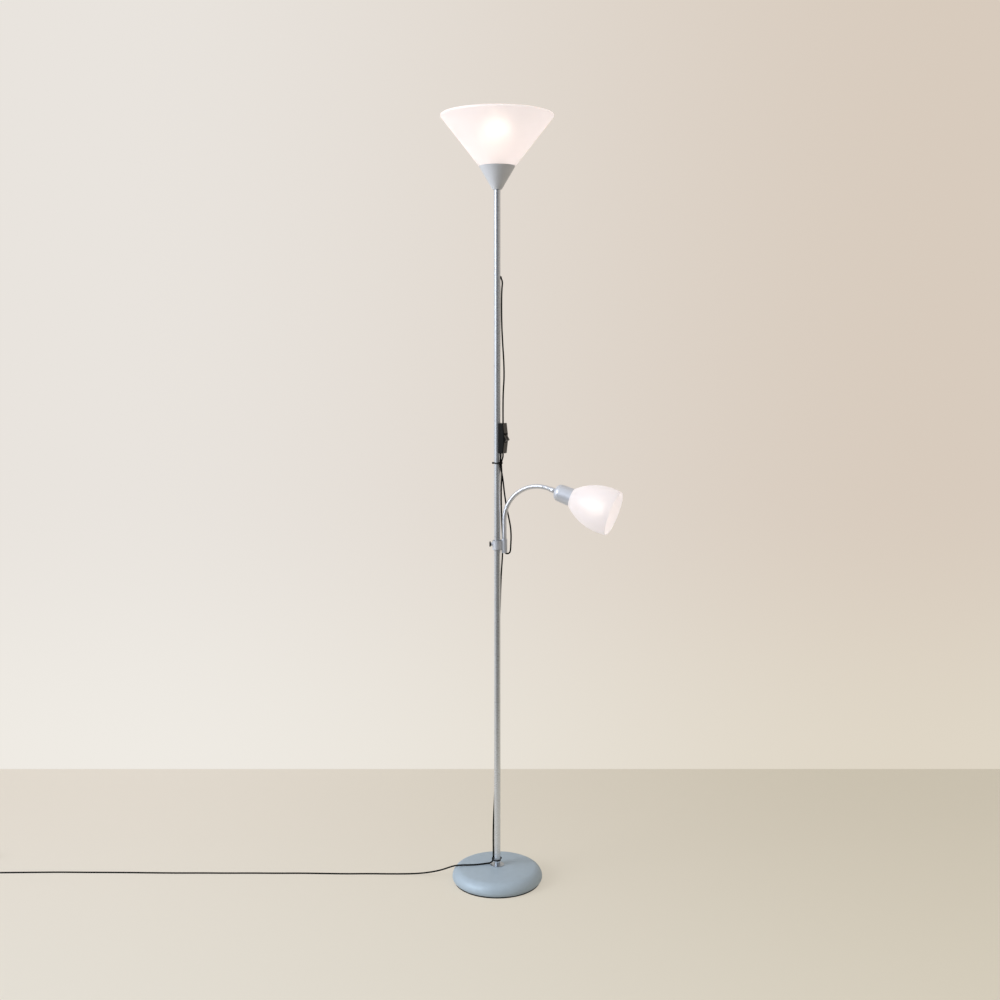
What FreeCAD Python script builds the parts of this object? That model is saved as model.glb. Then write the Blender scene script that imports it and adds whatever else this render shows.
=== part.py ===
"""Floor lamp with a cone uplight on a thin pole and a reading light on a gooseneck arm.

Millimetres, +Z up. The origin is on the floor, under the pole's axis. +X is the side of the reading arm.
Each driving size is a cell of the sheet, and the sub-parts are bound to the cells by expressions.
"""

import FreeCAD
import Part

import math
import os
from dataclasses import dataclass

from FreeCAD import Placement, Rotation, Vector
import Sketcher

# ---------------------------------------------------------------- driving dimensions, in millimetres and degrees

SIZES = {
    # fits
    "slip_fit": 0.05,
    "running_fit": 0.05,
    "seat_gap": 0.2,
    # base
    "pad_radius": 102.0,
    "pad_thickness": 3.0,
    "plate_thickness": 2.0,
    "cover_radius": 107.3,
    "cover_foot_radius": 102.6,
    "cover_widest_height": 11.6,
    "cover_height": 38.3,
    "cover_shoulder": 22.0,
    "cover_foot_round": 11.0,
    "cover_wall": 1.2,
    "cover_land_radius": 6.0,
    "weight_radius": 92.0,
    "weight_thickness": 10.0,
    "weight_boss_radius": 18.0,
    "bolt_radius": 5.0,
    "bolt_head_radius": 9.2,
    "bolt_head_height": 6.4,
    "bolt_recess_radius": 11.0,
    "bolt_recess_depth": 9.0,
    "bolt_reach": 22.0,
    "washer_thickness": 1.5,
    "foot_washer_radius": 16.3,
    "foot_washer_thickness": 1.2,
    "foot_collar_radius": 6.6,
    "foot_collar_height": 6.5,
    # pole
    "pole_radius": 7.5,
    "pole_wall": 0.8,
    "bush_length": 20.0,
    "stud_radius": 4.6,
    "stud_length": 14.0,
    "joint_flange": 1.0,
    "lead_bore_radius": 2.5,
    # uplight
    "cup_bottom": 1618.0,
    "cup_height": 51.0,
    "cup_bottom_radius": 10.5,
    "cup_rim_radius": 40.7,
    "cup_wall": 1.5,
    "nipple_radius": 5.0,
    "nipple_reach": 13.0,
    "holder_foot_radius": 9.0,
    "holder_foot_height": 8.0,
    "holder_taper": 13.0,
    "holder_radius": 19.0,
    "holder_flange_radius": 25.0,
    "holder_flange": 2.5,
    "holder_neck_radius": 19.8,
    "holder_neck_height": 21.0,
    "holder_chamber": 10.0,
    "uplight_cap_radius": 13.2,
    "uplight_cap_length": 22.0,
    "uplight_cap_seat": 7.0,
    "uplight_bulb_radius": 30.0,
    "uplight_bulb_length": 106.0,
    "uplight_shade_height": 111.0,
    "uplight_shade_neck_radius": 41.5,
    "uplight_shade_rim_radius": 126.2,
    "uplight_shade_lip": 4.0,
    "uplight_shade_wall": 2.3,
    "uplight_shade_floor": 2.0,
    "shade_ring_height": 7.0,
    "uplight_ring_radius": 26.0,
    # cords
    "cord_radius": 1.8,
    "cord_exit_height": 1424.0,
    "cord_exit_angle": 45.0,
    "grommet_radius": 3.2,
    "grommet_inside": 1.6,
    "grommet_outside": 2.6,
    # switch
    "switch_bottom": 1026.4,
    "switch_length": 69.0,
    "switch_width": 23.0,
    "switch_x": 13.2,
    "switch_y": -8.7,
    "switch_turn": -24.0,
    "switch_back": 7.6,
    "switch_front": 7.6,
    "switch_end_front": 4.8,
    "switch_parting": 2.5,
    "switch_shoulder": 24.0,
    "switch_round": 1.6,
    "switch_entry_spacing": 12.0,
    "switch_entry_depth": 3.0,
    "rocker_height": 35.6,
    "rocker_depth": 3.0,
    "rocker_width": 7.8,
    "rocker_spacing": 11.0,
    "rocker_slot_length": 21.6,
    "rocker_slot_width": 8.4,
    "axle_radius": 1.0,
    "axle_length": 20.8,
    "screw_head_radius": 2.2,
    "screw_head_height": 1.2,
    "screw_radius": 1.1,
    "screw_length": 7.0,
    "screw_height": 12.0,
    # cable ties
    "tie_inner_radius": 9.9,
    "tie_thickness": 1.1,
    "tie_width": 2.6,
    "tie_head_length": 4.6,
    "tie_head_depth": 3.4,
    "upper_tie_height": 1003.4,
    "base_tie_height": 52.5,
    "upper_tie_x": 1.95,
    "upper_tie_y": -1.3,
    "upper_tie_turn": 178.0,
    "base_tie_x": -2.1,
    "base_tie_y": 0.2,
    "base_tie_turn": 35.0,
    "base_tie_tilt": 8.0,
    # clamp
    "clamp_bottom": 801.0,
    "clamp_height": 23.0,
    "liner_radius": 8.9,
    "liner_flange_radius": 9.5,
    "liner_flange": 1.0,
    "liner_slit": 1.2,
    "collar_radius": 11.2,
    "socket_x": 16.5,
    "socket_radius": 6.7,
    "socket_drop": 6.5,
    "socket_rise": 2.0,
    "socket_stop": 8.0,
    "boss_radius": 4.6,
    "boss_reach": 14.2,
    "screw_level": 13.5,
    "thumb_screw_radius": 2.0,
    "knob_radius": 6.2,
    "knob_thickness": 3.0,
    "knob_gap": 1.0,
    # gooseneck arm
    "hose_radius": 5.3,
    "hose_start": 830.0,
    "bend_start": 870.0,
    "bend_radius": 82.0,
    "bend_angle": 108.5,
    "arm_yaw": -20.0,
    "ball_gap": 0.3,
    # reading head, measured along its axis from the last joint of the hose
    "ferrule_radius": 6.2,
    "ferrule_start": 3.0,
    "ferrule_length": 12.5,
    "spigot_radius": 4.5,
    "spigot_length": 8.5,
    "head_cup_length": 42.0,
    "head_cup_neck_radius": 8.4,
    "head_cup_shoulder": 12.0,
    "head_cup_radius": 19.6,
    "head_cup_rim_radius": 20.6,
    "head_cup_wall": 1.5,
    "head_holder_radius": 13.5,
    "head_holder_foot_radius": 7.6,
    "head_holder_flange_radius": 18.0,
    "head_neck_radius": 14.0,
    "head_neck_height": 19.0,
    "head_cap_radius": 7.0,
    "head_cap_length": 21.0,
    "head_cap_seat": 3.0,
    "head_bulb_radius": 22.5,
    "head_bulb_length": 78.0,
    "head_shade_length": 103.0,
    "head_shade_neck_radius": 21.5,
    "head_shade_belly_radius": 52.9,
    "head_shade_belly_height": 82.0,
    "head_shade_wall": 2.2,
    "head_shade_floor": 2.0,
    "head_ring_radius": 18.6,
    "contact_radius": 2.4,
    "contact_height": 3.0,
    "head_contact_height": 2.5,
    # put-away cord and plug
    "coil_x": -1262.0,
    "coil_y": 56.0,
    "coil_mean_radius": 20.2,
    "coil_section": 7.8,
    "coil_corner": 1.2,
    "plug_length": 36.0,
    "plug_width": 35.0,
    "plug_thickness": 13.8,
    "plug_nose_width": 26.0,
    "plug_sleeve_length": 30.0,
    "plug_sleeve_radius": 3.4,
    "plug_sleeve_wall": 0.6,
    "plug_sleeve_overlap": 2.0,
    "plug_lift": 6.9,
    "pin_radius": 2.0,
    "pin_length": 19.0,
    "pin_spacing": 18.8,
    "pin_depth": 5.0,
}

POLE_SECTIONS = 4
HOSE_SEGMENTS = 7
KNOB_GRIPS = 10

# Side outline of a rocker, outwards and up from its axle.
ROCKER_OUTLINE = [(-2.4, -7.0), (4.6, -9.2), (9.6, -5.0), (1.8, 9.2), (-2.2, 7.0), (-3.2, 0.0)]

# ---------------------------------------------------------------- cord routes, chosen by hand from the lamp's own lie

UPLIGHT_CORD = [
    (12.2, -0.2, 1412.0),
    (10.3, -0.3, 1396.0),
    (9.8, -0.5, 1362.0),
    (10.3, -0.4, 1318.0),
    (12.4, -0.8, 1276.0),
    (15.2, -1.0, 1234.0),
    (15.9, -1.4, 1198.0),
    (13.6, -1.6, 1164.0),
    (13.2, -2.4, 1130.0),
]

SUPPLY_CORD_DOWN = [
    (13.2, -2.0, 1017.0),
    (9.5, -2.0, 1006.0),
    (9.6, -0.9, 996.0),
    (10.8, 4.8, 977.0),
    (9.3, 13.0, 951.0),
    (9.2, 20.6, 915.0),
    (10.2, 25.4, 872.0),
    (12.6, 27.2, 824.0),
    (12.4, 26.6, 784.0),
    (9.3, 24.0, 742.0),
    (7.6, 19.4, 700.0),
    (6.2, 14.2, 655.0),
    (4.2, 11.2, 602.0),
    (2.2, 10.8, 545.0),
    (1.3, 11.2, 488.0),
    (-0.6, 10.8, 430.0),
    (-1.2, 11.3, 372.0),
    (-2.6, 10.9, 314.0),
    (-4.2, 10.2, 256.0),
    (-6.4, 8.4, 202.0),
    (-8.8, 5.6, 156.0),
    (-9.8, 2.6, 114.0),
    (-9.6, 1.4, 82.0),
    (-9.5, 1.0, 66.0),
]

SUPPLY_CORD_ACROSS = [
    (-9.7, 1.1, 57.5),
    (-9.7, 1.4, 50.9),
    (-11.4, 1.8, 46.5),
    (-14.5, 2.3, 43.1),
    (-18.7, 2.5, 41.0),
    (-27.6, 1.6, 40.25),
    (-46.0, -2.6, 39.4),
    (-64.0, -2.4, 38.2),
    (-82.0, 0.6, 37.0),
    (-98.0, 4.4, 34.4),
    (-112.0, 7.4, 29.5),
    (-131.0, 11.8, 20.6),
    (-156.0, 18.0, 12.0),
    (-186.0, 24.4, 5.4),
    (-222.0, 28.6, 2.2),
    (-264.0, 29.4, 1.85),
    (-312.0, 30.8, 1.85),
    (-366.0, 29.6, 1.85),
    (-422.0, 31.8, 1.85),
    (-480.0, 33.6, 1.85),
    (-538.0, 33.0, 1.85),
    (-596.0, 34.2, 1.85),
    (-654.0, 33.6, 1.85),
    (-712.0, 34.6, 1.85),
    (-770.0, 34.2, 1.85),
    (-828.0, 35.2, 1.85),
    (-886.0, 36.8, 1.85),
    (-944.0, 37.8, 1.85),
    (-1002.0, 38.2, 1.85),
    (-1060.0, 39.4, 1.85),
    (-1118.0, 38.4, 1.85),
    (-1176.0, 37.2, 1.85),
    (-1222.0, 35.9, 1.85),
]

READING_CORD = [
    (8.2, -12.8, 1017.0),
    (6.7, -7.5, 1006.5),
    (7.6, -7.0, 994.0),
    (10.9, -4.4, 979.0),
    (13.8, 0.8, 959.0),
    (16.6, 6.6, 931.0),
    (21.2, 9.4, 901.0),
    (26.4, 9.6, 876.0),
    (31.0, 8.6, 853.0),
    (32.4, 6.6, 832.0),
    (31.4, 3.4, 811.0),
    (30.6, 1.2, 796.6),
    (26.5, 0.6, 792.0),
    (20.6, 0.2, 792.0),
    (16.5, 0.0, 796.2),
]

INNER_LEAD = [
    (0.4, 0.0, 1438.0),
    (0.0, 0.0, 1490.0),
    (0.3, 0.0, 1560.0),
    (0.0, 0.0, 1610.0),
]

doc = FreeCAD.newDocument("FloorLamp")
sheet = doc.addObject("Spreadsheet::Sheet", "Sizes")
for row, (alias, number) in enumerate(SIZES.items(), start=1):
    sheet.set(f"A{row}", alias.replace("_", " "))
    sheet.set(f"B{row}", str(number))
    sheet.setAlias(f"B{row}", alias)
doc.recompute()


# ---------------------------------------------------------------- sizes that know their own formula


class Size:
    """A number together with the sheet formula that gives it."""

    def __init__(self, value, formula):
        self.value = float(value)
        self.formula = formula

    def joined(self, other, sign, result):
        return Size(result, f"({self.formula} {sign} {sized(other).formula})")

    def __add__(self, other):
        return self.joined(other, "+", self.value + sized(other).value)

    def __sub__(self, other):
        return self.joined(other, "-", self.value - sized(other).value)

    def __mul__(self, other):
        return self.joined(other, "*", self.value * sized(other).value)

    def __truediv__(self, other):
        return self.joined(other, "/", self.value / sized(other).value)

    def __radd__(self, other):
        return sized(other) + self

    def __rsub__(self, other):
        return sized(other) - self

    def __rmul__(self, other):
        return sized(other) * self

    def __neg__(self):
        return Size(-self.value, f"(-{self.formula})")


def sized(number):
    """A plain number as a Size; a Size stays as it is."""
    return number if isinstance(number, Size) else Size(number, repr(float(number)))


def smaller(first, second):
    """The smaller of two sizes."""
    return Size(min(first.value, second.value), f"min({first.formula}; {second.formula})")


class Sheet:
    """Gives each cell of the sheet as a Size, by its alias."""

    def __getattr__(self, alias):
        return Size(SIZES[alias], f"Sizes.{alias}")


d = Sheet()


# ---------------------------------------------------------------- sketches and features


@dataclass
class Corner:
    """A corner of an outline. bow is the radius of the arc to the next corner, out of the outline if positive."""

    x: object
    y: object
    bow: object = None


def plane(body, role):
    """The origin plane or axis of a body that has this role."""
    return next(f for f in body.Origin.OriginFeatures if f.Role == role)


def new_body(name):
    """An empty body whose label is the name of its file."""
    body = doc.addObject("PartDesign::Body", name)
    body.Label = name
    return body


def new_sketch(body, role, lift=None):
    """A sketch on one of the body's own origin planes, lifted off it along the plane's normal."""
    sketch = body.newObject("Sketcher::SketchObject", f"{body.Name}_sketch")
    sketch.AttachmentSupport = [(plane(body, role), "")]
    sketch.MapMode = "FlatFace"
    if lift is not None:
        sketch.AttachmentOffset = Placement(Vector(0, 0, lift.value), Rotation())
        sketch.setExpression("AttachmentOffset.Base.z", lift.formula)
    return sketch


def bind(sketch, kind, places, size):
    """Adds a constraint whose value is the size's formula."""
    index = sketch.addConstraint(Sketcher.Constraint(kind, *places, size.value))
    name = f"{kind.lower()}_{index}"
    sketch.renameConstraint(index, name)
    sketch.setExpression(f"Constraints.{name}", size.formula)


def place_point(sketch, edge, end, x, y):
    """Fixes a point of the sketch at x, y; a plain zero puts it on the axis."""
    for kind, size, axis in (("DistanceX", x, -2), ("DistanceY", y, -1)):
        if isinstance(size, Size):
            bind(sketch, kind, (-1, 1, edge, end), size)
        else:
            sketch.addConstraint(Sketcher.Constraint("PointOnObject", edge, end, axis))


def arc_middle(start, end, radius):
    """The middle of the arc of this radius from start to end, to the right of that way if positive."""
    chord = end - start
    side = Vector(chord.y, -chord.x, 0).normalize()
    depth = abs(radius) - math.sqrt(radius * radius - chord.Length * chord.Length / 4)
    return (start + end) / 2 + side * math.copysign(depth, radius)


def draw_outline(sketch, corners):
    """A closed outline through the corners, counter-clockwise, with every corner and radius bound."""
    points = [Vector(sized(c.x).value, sized(c.y).value, 0) for c in corners]
    ends = []
    for index, corner in enumerate(corners):
        start, end = points[index], points[(index + 1) % len(points)]
        if corner.bow is None:
            edge = sketch.addGeometry(Part.LineSegment(start, end), False)
            ends.append((edge, 1, 2))
        else:
            middle = arc_middle(start, end, corner.bow.value)
            edge = sketch.addGeometry(Part.Arc(start, middle, end), False)
            ends.append((edge, 1, 2) if corner.bow.value > 0 else (edge, 2, 1))
    for index, (edge, first, last) in enumerate(ends):
        following = ends[(index + 1) % len(ends)]
        sketch.addConstraint(Sketcher.Constraint("Coincident", edge, last, following[0], following[1]))
    for corner, (edge, first, last) in zip(corners, ends):
        place_point(sketch, edge, first, corner.x, corner.y)
        if corner.bow is not None:
            radius = corner.bow if corner.bow.value > 0 else -corner.bow
            bind(sketch, "Radius", (edge,), radius)


def draw_circle(sketch, radius, x=0, y=0):
    """A circle whose centre and radius are bound."""
    centre = Vector(sized(x).value, sized(y).value, 0)
    edge = sketch.addGeometry(Part.Circle(centre, Vector(0, 0, 1), radius.value), False)
    place_point(sketch, edge, 3, x, y)
    bind(sketch, "Radius", (edge,), radius)


def feature(body, kind, sketch, length=None, symmetric=False, reverse=False):
    """A pad or pocket of the sketch. A pocket with no length goes right through."""
    made = body.newObject(f"PartDesign::{kind}", f"{body.Name}_{kind.lower()}")
    made.Profile = sketch
    if symmetric:
        made.SideType = "Symmetric"
    made.Reversed = reverse
    if length is None:
        made.Type = "ThroughAll"
    else:
        made.Length = length.value
        made.setExpression("Length", length.formula)
    return made


def revolve(body, corners, kind="Revolution"):
    """A full turn of the outline, drawn in x and z, about the body's Z axis."""
    sketch = new_sketch(body, "XZ_Plane")
    draw_outline(sketch, corners)
    made = body.newObject(f"PartDesign::{kind}", f"{body.Name}_{kind.lower()}")
    made.Profile = sketch
    made.ReferenceAxis = (sketch, ["V_Axis"])
    made.Angle = 360
    return made


def turned(name, corners):
    """A body turned about Z, such as a tube, ring, cup or shade."""
    body = new_body(name)
    revolve(body, corners)
    return body


def tube_outline(inner, outer, bottom, top):
    """The half section of a plain tube or washer."""
    return [Corner(inner, bottom), Corner(outer, bottom), Corner(outer, top), Corner(inner, top)]


def drill(body, radius, role, x, y, lift=None, length=None, symmetric=False, reverse=False):
    """A round pocket through or into the body."""
    sketch = new_sketch(body, role, lift)
    draw_circle(sketch, radius, x, y)
    return feature(body, "Pocket", sketch, length, symmetric, reverse)


def round_edges(body, radius, chosen):
    """A fillet on the edges of the body's tip that the test picks."""
    doc.recompute()
    last = body.Tip
    names = [f"Edge{i}" for i, edge in enumerate(last.Shape.Edges, start=1) if chosen(edge)]
    made = body.newObject("PartDesign::Fillet", f"{body.Name}_fillet")
    made.Base = (last, names)
    made.Radius = radius.value
    made.setExpression("Radius", radius.formula)
    return made


def shape_part(name, shape, placement=None):
    """A sub-part whose shape comes from curves that no sketch fits."""
    part = doc.addObject("Part::Feature", name)
    part.Label = name
    part.Shape = shape
    if placement is not None:
        part.Placement = placement
    return part


# ---------------------------------------------------------------- base

COVER_BOTTOM = d.pad_thickness
PLATE_TOP = d.pad_thickness + d.plate_thickness
WEIGHT_TOP = PLATE_TOP + d.weight_thickness
RECESS_TOP = PLATE_TOP + d.bolt_recess_depth
COVER_INNER_TOP = d.cover_height - d.cover_wall
WASHER_TOP = d.cover_height + d.foot_washer_thickness
POLE_FOOT = WASHER_TOP + d.foot_collar_height


def crown_radius(radius, rise, shoulder, land):
    """The radius of the arc that meets the shoulder arc smoothly and ends level at the land's edge."""
    reach = radius - shoulder - land
    return (reach * reach + rise * rise - shoulder * shoulder) / (2 * (rise - shoulder))


def cover_curve(inset):
    """Half section of the dome from its foot to its land: foot, widest, shoulder's end, land's edge."""
    radius = d.cover_radius - inset
    shoulder = d.cover_shoulder - inset
    rise = d.cover_height - d.cover_widest_height - inset
    crown = crown_radius(radius, rise, shoulder, d.cover_land_radius)
    reach = radius - shoulder - d.cover_land_radius
    share = shoulder / (crown - shoulder)
    meet_x = radius - shoulder + reach * share
    meet_z = d.cover_widest_height + (crown - rise) * share
    return [
        Corner(d.cover_foot_radius - inset, COVER_BOTTOM, d.cover_foot_round - inset),
        Corner(radius, d.cover_widest_height, shoulder),
        Corner(meet_x, meet_z, crown),
        Corner(d.cover_land_radius, d.cover_height - inset),
    ]


def backwards(corners):
    """The same corners in the other direction, with each bow turned to the other side."""
    bows = [-c.bow if c.bow is not None else None for c in corners[-2::-1]] + [None]
    return [Corner(c.x, c.y, bow) for c, bow in zip(corners[::-1], bows)]


def build_base():
    bolt_hole = d.bolt_radius + d.slip_fit * 6
    turned("foot_pad", tube_outline(d.bolt_recess_radius, d.pad_radius, 0, d.pad_thickness))
    plate_radius = d.cover_foot_radius - d.cover_wall - d.seat_gap
    turned("base_bottom_plate", tube_outline(d.bolt_recess_radius, plate_radius, d.pad_thickness, PLATE_TOP))
    turned(
        "base_weight",
        [
            Corner(d.bolt_recess_radius, PLATE_TOP),
            Corner(d.weight_radius, PLATE_TOP),
            Corner(d.weight_radius, WEIGHT_TOP),
            Corner(d.weight_boss_radius * 1.6, WEIGHT_TOP, -d.weight_boss_radius),
            Corner(d.weight_boss_radius, COVER_INNER_TOP - d.seat_gap),
            Corner(bolt_hole, COVER_INNER_TOP - d.seat_gap),
            Corner(bolt_hole, RECESS_TOP),
            Corner(d.bolt_recess_radius, RECESS_TOP),
        ],
    )
    outer = cover_curve(sized(0))
    inner = backwards(cover_curve(d.cover_wall))
    top = [Corner(bolt_hole, d.cover_height), Corner(bolt_hole, COVER_INNER_TOP)]
    turned("base_cover", outer + top + inner)

    washer_bottom = RECESS_TOP - d.washer_thickness
    turned("base_washer", tube_outline(bolt_hole, d.bolt_recess_radius - 0.6, washer_bottom, RECESS_TOP))
    bolt = new_body("base_bolt")
    head = new_sketch(bolt, "XY_Plane", washer_bottom - d.bolt_head_height)
    side = d.bolt_head_radius
    half = side * 0.5
    rise = side * (math.sqrt(3) / 2)
    hexagon = [(side, 0), (half, rise), (-half, rise), (-side, 0), (-half, -rise), (half, -rise)]
    draw_outline(head, [Corner(x, y) for x, y in hexagon])
    feature(bolt, "Pad", head, d.bolt_head_height)
    shank = new_sketch(bolt, "XY_Plane", washer_bottom)
    draw_circle(shank, d.bolt_radius)
    feature(bolt, "Pad", shank, POLE_FOOT + d.bolt_reach - d.bolt_head_height - washer_bottom)

    turned("pole_washer", tube_outline(bolt_hole, d.foot_washer_radius, d.cover_height, WASHER_TOP))


# ---------------------------------------------------------------- pole

TUBE_INNER = d.pole_radius - d.pole_wall
BUSH_RADIUS = TUBE_INNER - d.slip_fit
TUBE_LENGTH = (d.cup_bottom - POLE_FOOT - d.joint_flange * (POLE_SECTIONS - 1)) / POLE_SECTIONS


def tube_bottom(section):
    """The height of the lower end of a pole section, counted from 0 at the foot."""
    return POLE_FOOT + (TUBE_LENGTH + d.joint_flange) * section


def build_pole():
    thread = d.bolt_radius + d.slip_fit
    turned(
        "pole_foot_bush",
        [
            Corner(thread, WASHER_TOP),
            Corner(d.foot_collar_radius, WASHER_TOP),
            Corner(d.foot_collar_radius, POLE_FOOT),
            Corner(BUSH_RADIUS, POLE_FOOT),
            Corner(BUSH_RADIUS, POLE_FOOT + d.bush_length),
            Corner(thread, POLE_FOOT + d.bush_length),
        ],
    )
    for section in range(POLE_SECTIONS):
        bottom = tube_bottom(section)
        tube = turned(
            f"pole_tube_{section + 1}",
            tube_outline(TUBE_INNER, d.pole_radius, bottom, bottom + TUBE_LENGTH),
        )
        if section == POLE_SECTIONS - 1:
            cut_cord_exit(tube)
    for joint in range(1, POLE_SECTIONS):
        flange_top = tube_bottom(joint)
        flange_bottom = flange_top - d.joint_flange
        turned(
            f"pole_joint_{joint}",
            [
                Corner(d.lead_bore_radius, flange_bottom - d.bush_length),
                Corner(BUSH_RADIUS, flange_bottom - d.bush_length),
                Corner(BUSH_RADIUS, flange_bottom),
                Corner(d.pole_radius, flange_bottom),
                Corner(d.pole_radius, flange_top),
                Corner(BUSH_RADIUS, flange_top),
                Corner(BUSH_RADIUS, flange_top + d.stud_length),
                Corner(d.stud_radius, flange_top + d.stud_length + 2),
                Corner(d.lead_bore_radius, flange_top + d.stud_length + 2),
            ],
        )
    turned(
        "pole_top_bush",
        tube_outline(d.nipple_radius + d.slip_fit, BUSH_RADIUS, d.cup_bottom - d.bush_length, d.cup_bottom),
    )


def exit_placement():
    """The cord's way through the pole's wall: outwards and down, from the middle of the wall."""
    wall_middle = Vector(d.pole_radius.value - d.pole_wall.value / 2, 0, d.cord_exit_height.value)
    return Placement(wall_middle, Rotation(Vector(0, 1, 0), 90 + d.cord_exit_angle.value))


def cut_cord_exit(tube):
    """The slanted hole in the top section's +X wall, as a pocket from a turned sketch."""
    sketch = new_sketch(tube, "XY_Plane")
    sketch.MapMode = "Deactivated"
    sketch.Placement = exit_placement()
    draw_circle(sketch, d.grommet_radius + d.slip_fit)
    feature(tube, "Pocket", sketch, d.grommet_outside * 4, symmetric=True)


# ---------------------------------------------------------------- lampholders, bulbs and shades


def build_bulb(name, cap_bottom, cap_radius, cap_length, bulb_radius, bulb_length):
    """A bulb standing on its contact: a metal screw cap, and a round glass that narrows to a neck in the cap."""
    cap_top = cap_bottom + cap_length
    tip = cap_radius * 0.4
    shoulder = cap_radius * 0.8
    shoulder_level = cap_bottom + cap_length * 0.18
    thread_level = cap_bottom + cap_length * 0.24
    cap = turned(
        f"{name}_bulb_cap",
        [
            Corner(0, cap_bottom),
            Corner(tip, cap_bottom),
            Corner(shoulder, shoulder_level),
            Corner(cap_radius, thread_level),
            Corner(cap_radius, cap_top),
            Corner(0, cap_top),
        ],
    )
    centre = cap_bottom + bulb_length - bulb_radius
    neck = cap_radius - 0.6
    neck_top = cap_top + bulb_radius * 0.12
    meet = 0.8
    meet_level = centre - bulb_radius * math.sqrt(1 - meet * meet)
    glass = turned(
        f"{name}_bulb_glass",
        [
            Corner(0, cap_top),
            Corner(neck, cap_top),
            Corner(neck, neck_top, -bulb_radius * 1.6),
            Corner(bulb_radius * meet, meet_level, bulb_radius),
            Corner(bulb_radius, centre, bulb_radius),
            Corner(0, centre + bulb_radius),
        ],
    )
    return cap, glass


CUP_TOP = d.cup_bottom + d.cup_height
HOLDER_BOTTOM = d.cup_bottom + d.cup_wall
UPLIGHT_CAP_BOTTOM = CUP_TOP - d.uplight_cap_seat + d.contact_height


def build_uplight():
    nipple_hole = d.nipple_radius + d.slip_fit
    wall = d.cup_wall
    slope = (d.cup_rim_radius - d.cup_bottom_radius) / d.cup_height
    cup_inner_foot = d.cup_bottom_radius + slope * wall - wall * 1.16
    turned(
        "uplight_cup",
        [
            Corner(nipple_hole, d.cup_bottom),
            Corner(d.cup_bottom_radius, d.cup_bottom),
            Corner(d.cup_rim_radius, CUP_TOP),
            Corner(d.cup_rim_radius - wall, CUP_TOP),
            Corner(cup_inner_foot, d.cup_bottom + wall),
            Corner(nipple_hole, d.cup_bottom + wall),
        ],
    )
    nipple_top = HOLDER_BOTTOM + d.nipple_reach
    turned(
        "uplight_nipple",
        tube_outline(d.lead_bore_radius, d.nipple_radius, d.cup_bottom - d.bush_length, nipple_top),
    )
    flange_bottom = CUP_TOP - d.holder_flange
    taper_bottom = HOLDER_BOTTOM + d.holder_foot_height
    neck_top = CUP_TOP + d.holder_neck_height
    contact_bottom = UPLIGHT_CAP_BOTTOM - d.contact_height
    turned(
        "uplight_lampholder",
        [
            Corner(nipple_hole, HOLDER_BOTTOM),
            Corner(d.holder_foot_radius, HOLDER_BOTTOM),
            Corner(d.holder_foot_radius, taper_bottom),
            Corner(d.holder_radius, taper_bottom + d.holder_taper),
            Corner(d.holder_radius, flange_bottom),
            Corner(d.holder_flange_radius, flange_bottom),
            Corner(d.holder_flange_radius, CUP_TOP),
            Corner(d.holder_neck_radius, CUP_TOP),
            Corner(d.holder_neck_radius, neck_top),
            Corner(d.uplight_cap_radius + d.seat_gap, neck_top),
            Corner(d.uplight_cap_radius + d.seat_gap, contact_bottom),
            Corner(0, contact_bottom),
            Corner(0, nipple_top + d.holder_chamber),
            Corner(d.lead_bore_radius, nipple_top + d.holder_chamber),
            Corner(d.lead_bore_radius, nipple_top),
            Corner(nipple_hole, nipple_top),
        ],
    )
    turned("uplight_contact", [
        Corner(0, contact_bottom),
        Corner(d.contact_radius, contact_bottom),
        Corner(d.contact_radius, UPLIGHT_CAP_BOTTOM),
        Corner(0, UPLIGHT_CAP_BOTTOM),
    ])
    build_bulb(
        "uplight",
        UPLIGHT_CAP_BOTTOM,
        d.uplight_cap_radius,
        d.uplight_cap_length,
        d.uplight_bulb_radius,
        d.uplight_bulb_length,
    )
    build_uplight_shade()


def build_uplight_shade():
    rim_top = CUP_TOP + d.uplight_shade_height
    lip_bottom = rim_top - d.uplight_shade_lip
    neck_hole = d.holder_neck_radius + d.slip_fit * 4
    floor_top = CUP_TOP + d.uplight_shade_floor
    wall = d.uplight_shade_wall
    slope = (d.uplight_shade_rim_radius - d.uplight_shade_neck_radius) / (d.uplight_shade_height - d.uplight_shade_lip)
    inner_foot = d.uplight_shade_neck_radius - wall + slope * d.uplight_shade_floor
    turned(
        "uplight_shade",
        [
            Corner(neck_hole, CUP_TOP),
            Corner(d.uplight_shade_neck_radius - 1, CUP_TOP),
            Corner(d.uplight_shade_neck_radius, CUP_TOP + 1),
            Corner(d.uplight_shade_rim_radius, lip_bottom),
            Corner(d.uplight_shade_rim_radius, rim_top),
            Corner(d.uplight_shade_rim_radius - wall, rim_top),
            Corner(d.uplight_shade_rim_radius - wall, lip_bottom),
            Corner(inner_foot, floor_top),
            Corner(neck_hole, floor_top),
        ],
    )
    ring_top = floor_top + d.shade_ring_height
    ring_hole = d.holder_neck_radius + d.slip_fit
    turned(
        "uplight_shade_ring",
        [
            Corner(ring_hole, floor_top),
            Corner(d.uplight_ring_radius, floor_top),
            Corner(d.uplight_ring_radius, ring_top - 1),
            Corner(d.uplight_ring_radius - 1, ring_top),
            Corner(ring_hole, ring_top),
        ],
    )


# ---------------------------------------------------------------- cords


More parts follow.
